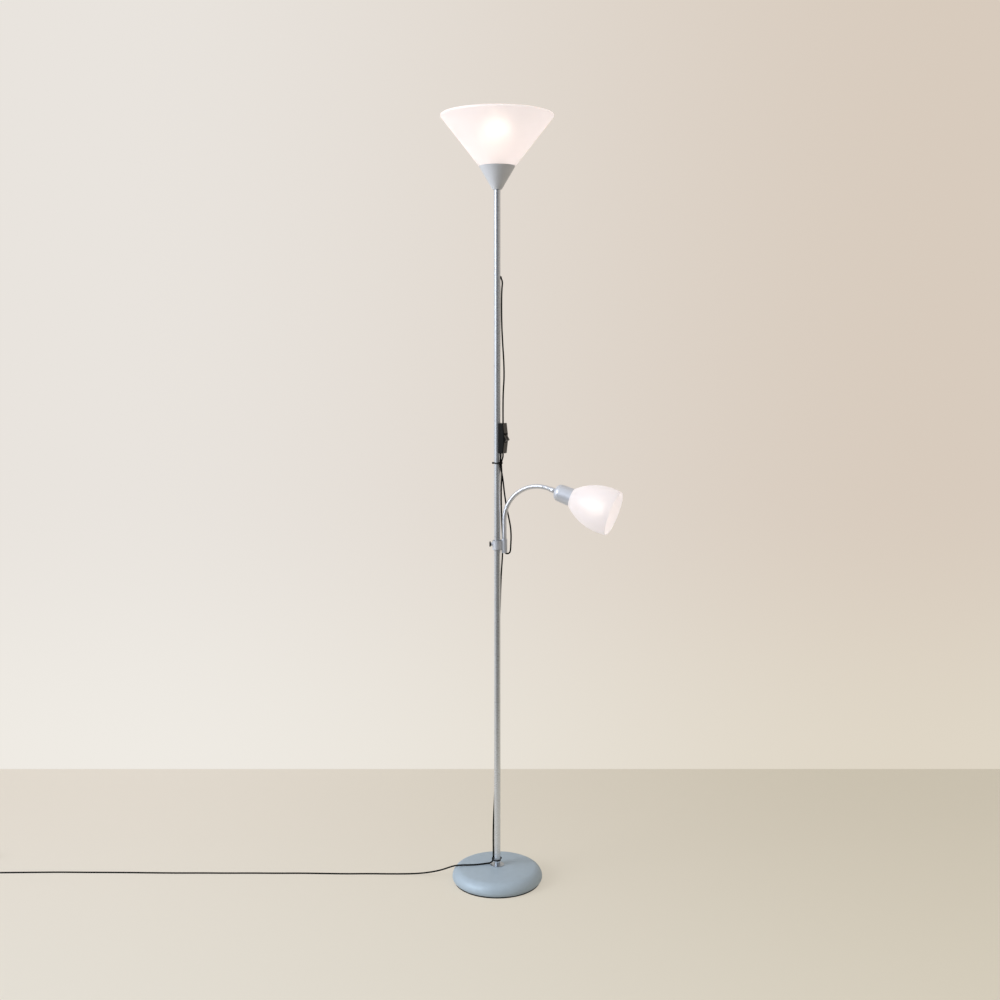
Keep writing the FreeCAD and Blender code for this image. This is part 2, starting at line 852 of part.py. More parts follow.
def cord_path(points):
    """Straight runs joined by tangent arcs, each as large as its two runs allow."""
    edges = []
    radii = []
    start = points[0]
    for before, here, after in zip(points, points[1:], points[2:]):
        run_in = here - before
        run_out = after - here
        half_turn = run_in.getAngle(run_out) / 2
        reach = 0.45 * min(run_in.Length, run_out.Length)
        radius = reach / math.tan(half_turn)
        way_in = Vector(run_in).normalize()
        way_out = Vector(run_out).normalize()
        arc_start = here - way_in * reach
        arc_end = here + way_out * reach
        inwards = (way_out - way_in).normalize()
        middle = here + inwards * (radius / math.cos(half_turn) - radius)
        edges.append(Part.LineSegment(start, arc_start).toShape())
        edges.append(Part.Arc(arc_start, middle, arc_end).toShape())
        radii.append(round(radius, 1))
        start = arc_end
    edges.append(Part.LineSegment(start, points[-1]).toShape())
    return Part.Wire(edges), radii


def build_cord(name, points):
    """A round cord along its route, as one tube whose volume has to be its section times its length."""
    vectors = [Vector(*p) for p in points]
    path, radii = cord_path(vectors)
    radius = d.cord_radius.value
    ring = Part.Wire([Part.Circle(vectors[0], vectors[1] - vectors[0], radius).toShape()])
    tube = path.makePipeShell([ring], True, False)
    expected = math.pi * radius * radius * path.Length
    if abs(tube.Volume / expected - 1) > 0.01:
        raise RuntimeError(f"{name} has volume {tube.Volume:.0f}, not {expected:.0f}")
    print(f"{name}: length {path.Length:.1f}, radii {radii}")
    return shape_part(name, tube)


def switch_placement():
    """The switch stands beside the pole, with its rockers turned outwards and a little forwards."""
    corner = Vector(d.switch_x.value, d.switch_y.value, d.switch_bottom.value)
    return Placement(corner, Rotation(Vector(0, 0, 1), d.switch_turn.value))


def switch_entry(side, top):
    """The bottom of one of the switch's cord entries, and the point where the cord leaves it."""
    depth = d.switch_entry_depth.value
    level = d.switch_length.value - depth if top else depth
    out = depth if top else -depth
    across = side * d.switch_entry_spacing.value / 2
    seat = switch_placement().multVec(Vector(-d.switch_parting.value, across, level))
    return seat, seat + Vector(0, 0, 2 * out)


def build_cords():
    exit_place = exit_placement()
    exit_start = exit_place.multVec(Vector(0, 0, d.pole_wall.value))
    exit_end = exit_place.multVec(Vector(0, 0, d.grommet_outside.value + 1))
    top_seat, top_mouth = switch_entry(1, True)
    uplight = [exit_start, exit_end] + UPLIGHT_CORD + [top_mouth, top_seat]
    build_cord("uplight_cord", uplight)

    lead_bend = exit_place.multVec(Vector(0, 0, -d.pole_radius.value * 0.8))
    lead_top = HOLDER_BOTTOM + d.nipple_reach + d.holder_chamber - d.seat_gap
    build_cord("uplight_inner_lead", [exit_start, lead_bend] + INNER_LEAD + [Vector(0, 0, lead_top.value)])

    supply_seat, supply_mouth = switch_entry(1, False)
    coil_entry = Vector(d.coil_x.value + d.coil_mean_radius.value * 0.6, 0, 0)
    coil_entry.y = d.coil_y.value - d.coil_mean_radius.value
    coil_entry.z = d.cord_radius.value + d.slip_fit.value
    supply = [supply_seat, supply_mouth] + SUPPLY_CORD_DOWN + SUPPLY_CORD_ACROSS + [coil_entry]
    build_cord("supply_cord", supply)

    reading_seat, reading_mouth = switch_entry(-1, False)
    socket_end = Vector(d.socket_x.value, 0, (SOCKET_BOTTOM + d.socket_stop).value)
    build_cord("reading_cord", [reading_seat, reading_mouth] + READING_CORD + [socket_end])


def build_grommet():
    """The soft bush in the pole's cord exit."""
    grommet = turned(
        "cord_exit_grommet",
        tube_outline(d.cord_radius + d.slip_fit, d.grommet_radius, -d.grommet_inside, d.grommet_outside),
    )
    grommet.Placement = exit_placement()


# ---------------------------------------------------------------- inline switch with two rockers


def switch_side(front_ends, front_middle, back):
    """The side outline of a switch shell, in local x and z."""
    shoulder = d.switch_shoulder
    return [
        Corner(back, 0),
        Corner(front_ends, 0),
        Corner(front_middle, shoulder),
        Corner(front_middle, d.switch_length - shoulder),
        Corner(front_ends, d.switch_length),
        Corner(back, d.switch_length),
    ]


def cut_cord_entries(body):
    """Two round cord entries at each end of the switch, half in each shell."""
    for side in (-1, 1):
        for lift, reverse in ((sized(0), True), (d.switch_length, False)):
            drill(
                body,
                d.cord_radius + d.slip_fit,
                "XY_Plane",
                -d.switch_parting,
                d.switch_entry_spacing * (side / 2),
                lift=lift if lift.value else None,
                length=d.switch_entry_depth,
                reverse=reverse,
            )


def build_switch():
    place = switch_placement()
    lower = new_body("switch_lower_shell")
    sketch = new_sketch(lower, "XZ_Plane")
    draw_outline(
        sketch,
        [
            Corner(-d.switch_back, 0),
            Corner(-d.switch_parting, 0),
            Corner(-d.switch_parting, d.switch_length),
            Corner(-d.switch_back, d.switch_length),
        ],
    )
    feature(lower, "Pad", sketch, d.switch_width, symmetric=True)
    cut_cord_entries(lower)
    screw_head_top = -d.switch_back + d.screw_head_height
    for level in screw_levels():
        drill(lower, d.screw_head_radius + d.slip_fit, "YZ_Plane", 0, level, lift=-d.switch_back,
              length=d.screw_head_height, reverse=True)
        drill(lower, d.screw_radius + d.slip_fit, "YZ_Plane", 0, level, lift=screw_head_top,
              length=d.screw_length, reverse=True)
    round_edges(lower, d.switch_round, lambda e: is_upright(e) and e.CenterOfMass.x < -d.switch_parting.value - 1
                and abs(e.CenterOfMass.y) > d.switch_width.value / 2 - 0.01)
    lower.Placement = place

    upper = new_body("switch_upper_shell")
    sketch = new_sketch(upper, "XZ_Plane")
    draw_outline(sketch, switch_side(d.switch_end_front, d.switch_front, -d.switch_parting))
    feature(upper, "Pad", sketch, d.switch_width, symmetric=True)
    cut_cord_entries(upper)
    for level in screw_levels():
        drill(upper, d.screw_radius + d.slip_fit, "YZ_Plane", 0, level, lift=-d.switch_parting,
              length=d.screw_length - (d.switch_back - d.screw_head_height - d.switch_parting), reverse=True)
    half_slot = d.rocker_slot_length / 2
    for side in (-1, 1):
        slot = new_sketch(upper, "YZ_Plane")
        middle = d.rocker_spacing * (side / 2)
        low = d.rocker_height - half_slot
        high = d.rocker_height + half_slot
        draw_outline(
            slot,
            [
                Corner(middle - d.rocker_slot_width / 2, low),
                Corner(middle + d.rocker_slot_width / 2, low),
                Corner(middle + d.rocker_slot_width / 2, high),
                Corner(middle - d.rocker_slot_width / 2, high),
            ],
        )
        feature(upper, "Pocket", slot, symmetric=True)
    drill(upper, d.axle_radius + d.slip_fit / 2, "XZ_Plane", d.rocker_depth, d.rocker_height,
          length=d.axle_length, symmetric=True)
    wall_beside_slot = (d.switch_width - d.rocker_spacing - d.rocker_slot_width) / 2
    front_round = smaller(d.switch_round, wall_beside_slot - d.slip_fit)
    round_edges(upper, front_round, lambda e: is_side_edge(e, d.switch_width.value / 2))
    upper.Placement = place

    axle = new_body("rocker_axle")
    sketch = new_sketch(axle, "XZ_Plane")
    draw_circle(sketch, d.axle_radius, d.rocker_depth, d.rocker_height)
    feature(axle, "Pad", sketch, d.axle_length, symmetric=True)
    axle.Placement = place

    for number, side in ((1, -1), (2, 1)):
        rocker = new_body(f"switch_rocker_{number}")
        sketch = new_sketch(rocker, "XZ_Plane", d.rocker_spacing * (-side / 2))
        draw_outline(sketch, [Corner(d.rocker_depth + x, d.rocker_height + z) for x, z in ROCKER_OUTLINE])
        feature(rocker, "Pad", sketch, d.rocker_width, symmetric=True)
        drill(rocker, d.axle_radius + d.running_fit, "XZ_Plane", d.rocker_depth, d.rocker_height, symmetric=True)
        rocker.Placement = place

    screws = new_body("switch_screws")
    for level in screw_levels():
        for radius, start, length in (
            (d.screw_head_radius, -d.switch_back, d.screw_head_height),
            (d.screw_radius, screw_head_top, d.screw_length - d.seat_gap),
        ):
            sketch = new_sketch(screws, "YZ_Plane", start)
            draw_circle(sketch, radius, 0, level)
            feature(screws, "Pad", sketch, length)
    screws.AllowCompound = True
    screws.Placement = place


def screw_levels():
    """The heights of the two screws on the back of the switch."""
    return d.screw_height, d.switch_length - d.screw_height


def is_upright(edge):
    """True for a straight edge along Z."""
    start, end = edge.Vertexes[0].Point, edge.Vertexes[-1].Point
    return abs(start.x - end.x) < 0.01 and abs(start.y - end.y) < 0.01 and edge.Length > 1


def is_side_edge(edge, half_width):
    """True for the long front edges where the face meets the two sides."""
    ends = [v.Point for v in edge.Vertexes]
    on_side = all(abs(abs(p.y) - half_width) < 0.01 for p in ends)
    in_front = all(p.x > 1 for p in ends)
    return on_side and in_front and abs(ends[0].z - ends[-1].z) > 5


# ---------------------------------------------------------------- cable ties


def build_tie(name, placement):
    """A cable tie: a round strap, its head outside it and the end that sticks out of the head."""
    tie = new_body(name)
    strap = new_sketch(tie, "XY_Plane")
    draw_circle(strap, d.tie_inner_radius + d.tie_thickness)
    draw_circle(strap, d.tie_inner_radius)
    feature(tie, "Pad", strap, d.tie_width, symmetric=True)
    head = new_sketch(tie, "XY_Plane")
    inner = d.tie_inner_radius + d.tie_thickness * 0.4
    half = d.tie_head_length / 2
    draw_outline(
        head,
        [
            Corner(inner, -half),
            Corner(inner + d.tie_head_depth, -half),
            Corner(inner + d.tie_head_depth, half),
            Corner(inner, half),
        ],
    )
    feature(tie, "Pad", head, d.tie_width * 1.5, symmetric=True)
    end = new_sketch(tie, "XY_Plane")
    draw_outline(
        end,
        [
            Corner(inner + d.tie_thickness, half),
            Corner(inner + d.tie_thickness * 2, half),
            Corner(inner + d.tie_thickness * 2, half * 2.2),
            Corner(inner + d.tie_thickness, half * 2.2),
        ],
    )
    feature(tie, "Pad", end, d.tie_width, symmetric=True)
    tie.Placement = placement


def build_ties():
    upper = Vector(d.upper_tie_x.value, d.upper_tie_y.value, d.upper_tie_height.value)
    build_tie("cord_tie_upper", Placement(upper, Rotation(d.upper_tie_turn.value, 0, 0)))
    lower = Vector(d.base_tie_x.value, d.base_tie_y.value, d.base_tie_height.value)
    build_tie("cord_tie_base", Placement(lower, Rotation(d.base_tie_turn.value, 0, d.base_tie_tilt.value)))


# ---------------------------------------------------------------- clamp

CLAMP_TOP = d.clamp_bottom + d.clamp_height
SOCKET_BOTTOM = d.clamp_bottom - d.socket_drop
SOCKET_TOP = CLAMP_TOP + d.socket_rise
COLLAR_BOTTOM = d.clamp_bottom + d.liner_flange + d.seat_gap
COLLAR_HEIGHT = d.clamp_height - (d.liner_flange + d.seat_gap) * 2
SCREW_LEVEL = d.clamp_bottom + d.screw_level


def build_clamp():
    pole_hole = d.pole_radius + d.running_fit
    liner = turned(
        "clamp_liner",
        [
            Corner(pole_hole, d.clamp_bottom),
            Corner(d.liner_flange_radius, d.clamp_bottom),
            Corner(d.liner_flange_radius, d.clamp_bottom + d.liner_flange),
            Corner(d.liner_radius, d.clamp_bottom + d.liner_flange),
            Corner(d.liner_radius, CLAMP_TOP - d.liner_flange),
            Corner(d.liner_flange_radius, CLAMP_TOP - d.liner_flange),
            Corner(d.liner_flange_radius, CLAMP_TOP),
            Corner(pole_hole, CLAMP_TOP),
        ],
    )
    slit = new_sketch(liner, "XY_Plane", d.clamp_bottom)
    half = d.liner_slit / 2
    draw_outline(
        slit,
        [
            Corner(-half, 0),
            Corner(half, 0),
            Corner(half, d.collar_radius),
            Corner(-half, d.collar_radius),
        ],
    )
    feature(liner, "Pocket", slit, symmetric=True)

    body = new_body("clamp_body")
    ring = new_sketch(body, "XY_Plane", COLLAR_BOTTOM)
    draw_circle(ring, d.collar_radius)
    feature(body, "Pad", ring, COLLAR_HEIGHT)
    web = new_sketch(body, "XY_Plane", COLLAR_BOTTOM)
    half_web = d.socket_radius * 0.85
    draw_outline(
        web,
        [
            Corner(0, -half_web),
            Corner(d.socket_x, -half_web),
            Corner(d.socket_x, half_web),
            Corner(0, half_web),
        ],
    )
    feature(body, "Pad", web, COLLAR_HEIGHT)
    socket = new_sketch(body, "XY_Plane", SOCKET_BOTTOM)
    draw_circle(socket, d.socket_radius, d.socket_x, 0)
    feature(body, "Pad", socket, SOCKET_TOP - SOCKET_BOTTOM)
    boss = new_sketch(body, "YZ_Plane")
    draw_circle(boss, d.boss_radius, 0, SCREW_LEVEL)
    feature(body, "Pad", boss, d.boss_reach, reverse=True)
    drill(body, d.liner_radius + d.running_fit, "XY_Plane", 0, 0, lift=d.clamp_bottom, symmetric=True)
    drill(body, d.hose_radius + d.slip_fit, "XY_Plane", d.socket_x, 0, lift=d.clamp_bottom, symmetric=True)
    drill(body, d.thumb_screw_radius + d.running_fit, "YZ_Plane", 0, SCREW_LEVEL, length=d.boss_reach * 1.2)
    build_thumb_screw()


def build_thumb_screw():
    """The thumb screw: a stem that presses on the liner, and a black knob with a scalloped grip."""
    tip = d.liner_radius + d.seat_gap
    knob_start = d.boss_reach + d.knob_gap
    knob_end = knob_start + d.knob_thickness
    side = Placement(Vector(0, 0, SCREW_LEVEL.value), Rotation(Vector(0, 1, 0), -90))
    stem = turned(
        "clamp_screw",
        [
            Corner(0, tip),
            Corner(d.thumb_screw_radius * 0.7, tip),
            Corner(d.thumb_screw_radius, tip + 0.6),
            Corner(d.thumb_screw_radius, knob_end - 1),
            Corner(0, knob_end - 1),
        ],
    )
    stem.Placement = side
    hub = d.thumb_screw_radius * 1.9
    knob = turned(
        "clamp_knob",
        [
            Corner(d.thumb_screw_radius + d.slip_fit, d.boss_reach + d.seat_gap),
            Corner(hub, d.boss_reach + d.seat_gap),
            Corner(hub, knob_start),
            Corner(d.knob_radius, knob_start),
            Corner(d.knob_radius, knob_end - 0.6),
            Corner(d.knob_radius - 0.6, knob_end),
            Corner(0, knob_end),
            Corner(0, knob_end - 1),
            Corner(d.thumb_screw_radius + d.slip_fit, knob_end - 1),
        ],
    )
    sketch = new_sketch(knob, "XY_Plane", knob_start)
    draw_circle(sketch, d.knob_thickness * 0.3, d.knob_radius + d.knob_thickness * 0.12, 0)
    cut = feature(knob, "Pocket", sketch, d.knob_thickness, reverse=True)
    pattern = knob.newObject("PartDesign::PolarPattern", "clamp_knob_grips")
    pattern.Originals = [cut]
    pattern.Axis = (plane(knob, "Z_Axis"), [""])
    pattern.Angle = 360
    pattern.Occurrences = KNOB_GRIPS
    knob.Tip = pattern
    knob.Placement = side


# ---------------------------------------------------------------- gooseneck

STRAIGHT = (d.bend_start - d.hose_start).value
BEND = math.radians(d.bend_angle.value)
HOSE_LENGTH = STRAIGHT + d.bend_radius.value * BEND
SEGMENT = HOSE_LENGTH / HOSE_SEGMENTS
ARM_FRAME = Placement(Vector(d.socket_x.value, 0, d.hose_start.value), Rotation(Vector(0, 0, 1), d.arm_yaw.value))


def hose_turn(distance):
    """How far the hose has turned over, in radians, at this distance along it."""
    return max(0.0, distance - STRAIGHT) / d.bend_radius.value


def hose_point(distance):
    """A point of the hose's middle line in the arm's own plane: x outwards, z up."""
    turn = hose_turn(distance)
    radius = d.bend_radius.value
    return Vector(radius * (1 - math.cos(turn)), 0, min(distance, STRAIGHT) + radius * math.sin(turn))


def hose_disc(distance, radius):
    """A round face square to the hose."""
    turn = hose_turn(distance)
    way = Vector(math.sin(turn), 0, math.cos(turn))
    return Part.Face(Part.Wire([Part.Circle(hose_point(distance), way, radius).toShape()]))


def hose_piece(start, end, radius):
    """A length of the hose: a straight bar, a sector of a ring, or both where the bend begins inside it."""
    solids = []
    if start < STRAIGHT:
        solids.append(hose_disc(start, radius).extrude(Vector(0, 0, min(end, STRAIGHT) - start)))
    if end > STRAIGHT:
        bend_start = max(start, STRAIGHT)
        centre = Vector(d.bend_radius.value, 0, STRAIGHT)
        angle = math.degrees((end - bend_start) / d.bend_radius.value)
        solids.append(hose_disc(bend_start, radius).revolve(centre, Vector(0, 1, 0), angle))
    return solids[0] if len(solids) == 1 else solids[0].fuse(solids[1])


def build_gooseneck():
    """Lengths of hose that turn on one another: each starts with a ball and ends with a cup for the next ball."""
    radius = d.hose_radius.value
    cup_radius = radius + d.ball_gap.value
    ferrule = new_body("gooseneck_lower_ferrule")
    sketch = new_sketch(ferrule, "XY_Plane", SOCKET_BOTTOM + d.socket_stop)
    draw_circle(sketch, d.hose_radius, d.socket_x, 0)
    feature(ferrule, "Pad", sketch, d.hose_start - SOCKET_BOTTOM - d.socket_stop)
    for number in range(1, HOSE_SEGMENTS + 1):
        start = (number - 1) * SEGMENT
        end = number * SEGMENT
        piece = hose_piece(start, end, radius)
        if number > 1:
            piece = piece.fuse(Part.makeSphere(radius, hose_point(start)))
        piece = piece.cut(Part.makeSphere(cup_radius, hose_point(end)))
        shape_part(f"gooseneck_{number}", piece.removeSplitter(), ARM_FRAME)


# ---------------------------------------------------------------- reading head

HEAD_CUP_START = d.ferrule_start + d.ferrule_length
HEAD_CUP_END = HEAD_CUP_START + d.head_cup_length


def head_placement():
    """The reading head's own frame: origin at the last joint of the hose, z out of the shade's mouth."""
    tilt = Placement(hose_point(HOSE_LENGTH), Rotation(Vector(0, 1, 0), d.bend_angle.value))
    return ARM_FRAME.multiply(tilt)


def build_head():
    place = head_placement()
    ball = d.hose_radius
    parts = [
        turned(
            "gooseneck_top_ferrule",
            [
                Corner(0, -ball, ball),
                Corner(ball, 0),
                Corner(ball, d.ferrule_start - 0.6),
                Corner(d.ferrule_radius, d.ferrule_start),
                Corner(d.ferrule_radius, HEAD_CUP_START),
                Corner(d.spigot_radius, HEAD_CUP_START),
                Corner(d.spigot_radius, HEAD_CUP_START + d.spigot_length),
                Corner(0, HEAD_CUP_START + d.spigot_length),
            ],
        )
    ]
    spigot_hole = d.spigot_radius + d.slip_fit
    wall = d.head_cup_wall
    shoulder_top = HEAD_CUP_START + d.head_cup_shoulder
    parts.append(
        turned(
            "reading_cup",
            [
                Corner(spigot_hole, HEAD_CUP_START),
                Corner(d.head_cup_neck_radius, HEAD_CUP_START, d.head_cup_shoulder * 1.1),
                Corner(d.head_cup_radius, shoulder_top),
                Corner(d.head_cup_rim_radius, HEAD_CUP_END),
                Corner(d.head_cup_rim_radius - wall, HEAD_CUP_END),
                Corner(d.head_cup_radius - wall, shoulder_top, -(d.head_cup_shoulder * 1.1 - wall)),
                Corner(d.head_cup_neck_radius, HEAD_CUP_START + wall),
                Corner(spigot_hole, HEAD_CUP_START + wall),
            ],
        )
    )
    parts += build_head_holder()
    parts += build_head_shade()
    for part in parts:
        part.Placement = place


def build_head_holder():
    bottom = HEAD_CUP_START + d.head_cup_wall
    spigot_hole = d.spigot_radius + d.slip_fit
    spigot_top = HEAD_CUP_START + d.spigot_length
    flange_bottom = HEAD_CUP_END - d.holder_flange
    neck_top = HEAD_CUP_END + d.head_neck_height
    contact_bottom = HEAD_CUP_END - d.head_cap_seat
    cap_bottom = contact_bottom + d.head_contact_height
    holder = turned(
        "reading_lampholder",
        [
            Corner(spigot_hole, bottom),
            Corner(d.head_holder_foot_radius, bottom),
            Corner(d.head_holder_radius, spigot_top + 2),
            Corner(d.head_holder_radius, flange_bottom),
            Corner(d.head_holder_flange_radius, flange_bottom),
            Corner(d.head_holder_flange_radius, HEAD_CUP_END),
            Corner(d.head_neck_radius, HEAD_CUP_END),
            Corner(d.head_neck_radius, neck_top),
            Corner(d.head_cap_radius + d.seat_gap, neck_top),
            Corner(d.head_cap_radius + d.seat_gap, contact_bottom),
            Corner(0, contact_bottom),
            Corner(0, spigot_top),
            Corner(spigot_hole, spigot_top),
        ],
    )
    contact = turned(
        "reading_contact",
        [
            Corner(0, contact_bottom),
            Corner(d.contact_radius, contact_bottom),
            Corner(d.contact_radius, cap_bottom),
            Corner(0, cap_bottom),
        ],
    )
    cap, glass = build_bulb(
        "reading", cap_bottom, d.head_cap_radius, d.head_cap_length, d.head_bulb_radius, d.head_bulb_length
    )
    return [holder, contact, cap, glass]


def build_head_shade():
    """The bell shade: one arc from the neck past the belly to the rim, clamped by its floor."""
    belly_radius = d.head_shade_belly_radius
    belly = d.head_shade_belly_height
    neck = d.head_shade_neck_radius
    swell = belly_radius - neck
    arc = (swell * swell + belly * belly) / (2 * swell)
    beyond = d.head_shade_length - belly
    sagitta = beyond * beyond / (2 * arc)
    rim = belly_radius - sagitta
    wall = d.head_shade_wall
    floor_top = HEAD_CUP_END + d.head_shade_floor
    mouth = HEAD_CUP_END + d.head_shade_length
    neck_hole = d.head_neck_radius + d.slip_fit * 4
    inner_foot = neck - wall + wall * 1.1
    shade = turned(
        "reading_shade",
        [
            Corner(neck_hole, HEAD_CUP_END),
            Corner(neck, HEAD_CUP_END, arc),
            Corner(rim, mouth),
            Corner(rim - wall, mouth, -(arc - wall)),
            Corner(inner_foot, floor_top),
            Corner(neck_hole, floor_top),
        ],
    )
    ring_hole = d.head_neck_radius + d.slip_fit
    ring_top = floor_top + d.shade_ring_height
    ring = turned(
        "reading_shade_ring",
        [
            Corner(ring_hole, floor_top),
            Corner(d.head_ring_radius, floor_top),
            Corner(d.head_ring_radius, ring_top - 1),
            Corner(d.head_ring_radius - 1, ring_top),
            Corner(ring_hole, ring_top),
        ],
    )
    return [shade, ring]


# ---------------------------------------------------------------- put-away coil and plug


def build_coil_and_plug():
    half = d.coil_section / 2
    inner = d.coil_mean_radius - half
    outer = d.coil_mean_radius + half
    corner = d.coil_corner
    bow = d.coil_section * 0.25
    coil = turned(
        "supply_cord_coil",
        [
            Corner(inner + corner, 0),
            Corner(outer - corner, 0, bow),
            Corner(outer, corner),
            Corner(outer, d.coil_section - corner, bow),
            Corner(outer - corner, d.coil_section),
            Corner(inner + corner, d.coil_section, bow),
            Corner(inner, d.coil_section - corner),
            Corner(inner, corner, bow),
        ],
    )
    coil.Placement = Placement(Vector(d.coil_x.value, d.coil_y.value, 0), Rotation())

    sleeve_start = Vector(
        d.coil_x.value - d.coil_mean_radius.value,
        d.coil_y.value + d.coil_mean_radius.value * 0.6,
        d.plug_lift.value,
    )
    along_y = Placement(sleeve_start, Rotation(Vector(1, 0, 0), -90))
    plug = new_body("plug_body")
    sleeve_outline = [
        Corner(0, 0),
        Corner(d.cord_radius + d.plug_sleeve_wall, 0),
        Corner(d.plug_sleeve_radius, d.plug_sleeve_length),
        Corner(d.plug_sleeve_radius, d.plug_sleeve_length + d.plug_sleeve_overlap),
        Corner(0, d.plug_sleeve_length + d.plug_sleeve_overlap),
    ]
    revolve(plug, sleeve_outline)
    plug_end = d.plug_sleeve_length + d.plug_length
    neck_half = d.plug_sleeve_radius * 1.6
    widest_start = d.plug_sleeve_length + d.plug_length * 0.5
    widest_end = plug_end - d.plug_length * 0.12
    half_width = d.plug_width / 2
    outline = new_sketch(plug, "XZ_Plane")
    draw_outline(
        outline,
        [
            Corner(-neck_half, d.plug_sleeve_length),
            Corner(neck_half, d.plug_sleeve_length),
            Corner(half_width, widest_start),
            Corner(half_width, widest_end),
            Corner(d.plug_nose_width / 2, plug_end),
            Corner(-d.plug_nose_width / 2, plug_end),
            Corner(-half_width, widest_end),
            Corner(-half_width, widest_start),
        ],
    )
    feature(plug, "Pad", outline, d.plug_thickness, symmetric=True)
    for side in (-1, 1):
        drill(plug, d.pin_radius + d.slip_fit, "XY_Plane", d.pin_spacing * (side / 2), 0, lift=plug_end, length=d.pin_depth)
    plug.Placement = along_y

    pins = new_body("plug_pins")
    pins.AllowCompound = True
    for side in (-1, 1):
        sketch = new_sketch(pins, "XY_Plane", plug_end - d.pin_depth)
        draw_circle(sketch, d.pin_radius, d.pin_spacing * (side / 2), 0)
        feature(pins, "Pad", sketch, d.pin_length + d.pin_depth)
    pins.Placement = along_y


# ---------------------------------------------------------------- the whole lamp


def check_and_write():
    """Stops on any failed object or shape, then writes one file for each sub-part."""
    doc.recompute()
    failed = [o.Label for o in doc.Objects if {"Invalid", "Error"} & set(o.State)]
    if failed:
        raise RuntimeError(f"failed objects: {failed}")
    kinds = ("PartDesign::Body", "Part::Feature")
    parts = [o for o in doc.Objects if o.TypeId in kinds]
    for part in parts:
        if part.Shape.isNull() or not part.Shape.isValid() or not part.Shape.Solids:
            raise RuntimeError(f"{part.Label} has no valid solid")
    os.makedirs("parts", exist_ok=True)
    for part in parts:
        part.Shape.exportStep(f"parts/{part.Label}.step")
    print(f"{len(parts)} sub-parts")


build_base()
build_pole()
build_uplight()
build_cords()
build_grommet()
build_switch()
build_ties()
build_clamp()
build_gooseneck()
build_head()
build_coil_and_plug()
check_and_write()
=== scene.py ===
"""Looks of a floor lamp: a cone uplight on a thin pole, and a reading light on a gooseneck clamped to the pole.

Metres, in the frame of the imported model: the floor is z = 0, the pole stands on the Z axis and the reading arm
reaches towards +X.
"""

import logging
import math
from dataclasses import dataclass
from enum import Enum

import bmesh
import bpy
from mathutils import Matrix, Vector


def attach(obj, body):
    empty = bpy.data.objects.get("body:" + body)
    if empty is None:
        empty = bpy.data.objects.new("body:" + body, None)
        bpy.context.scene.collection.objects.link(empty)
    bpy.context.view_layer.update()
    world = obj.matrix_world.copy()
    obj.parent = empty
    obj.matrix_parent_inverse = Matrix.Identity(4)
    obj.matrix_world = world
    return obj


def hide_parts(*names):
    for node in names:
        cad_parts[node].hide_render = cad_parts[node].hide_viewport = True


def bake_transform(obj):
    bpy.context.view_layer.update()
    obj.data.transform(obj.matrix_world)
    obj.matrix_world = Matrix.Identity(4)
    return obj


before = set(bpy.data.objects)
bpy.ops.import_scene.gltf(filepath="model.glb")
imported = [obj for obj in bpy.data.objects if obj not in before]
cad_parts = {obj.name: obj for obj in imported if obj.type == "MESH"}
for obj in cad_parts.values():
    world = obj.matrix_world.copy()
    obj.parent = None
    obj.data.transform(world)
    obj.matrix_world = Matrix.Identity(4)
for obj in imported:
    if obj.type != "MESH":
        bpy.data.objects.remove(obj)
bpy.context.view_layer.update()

log = logging.getLogger("floor_lamp")

MM = 0.001
PHOTO_PIXELS = 1000
SENSOR_WIDTH = 36.0  # in millimetres, as the camera takes it
SHARP_ANGLE = math.radians(35)
TURNED_SIDES = 64
CORD_SIDES = 16

# The Mix node's sockets for colours, which have no names of their own.
FIRST_COLOUR, SECOND_COLOUR, MIXED_COLOUR = 6, 7, 2

Point = tuple[float, float, float]
Span = tuple[float, float]
Inputs = dict[str | int, object]

# ---------------------------------------------------------------- cord routes, as in the part's source

UPLIGHT_CORD: list[Point] = [
    (0.0122, -0.0002, 1.4120),
    (0.0103, -0.0003, 1.3960),
    (0.0098, -0.0005, 1.3620),
    (0.0103, -0.0004, 1.3180),
    (0.0124, -0.0008, 1.2760),
    (0.0152, -0.0010, 1.2340),
    (0.0159, -0.0014, 1.1980),
    (0.0136, -0.0016, 1.1640),
    (0.0132, -0.0024, 1.1300),
]

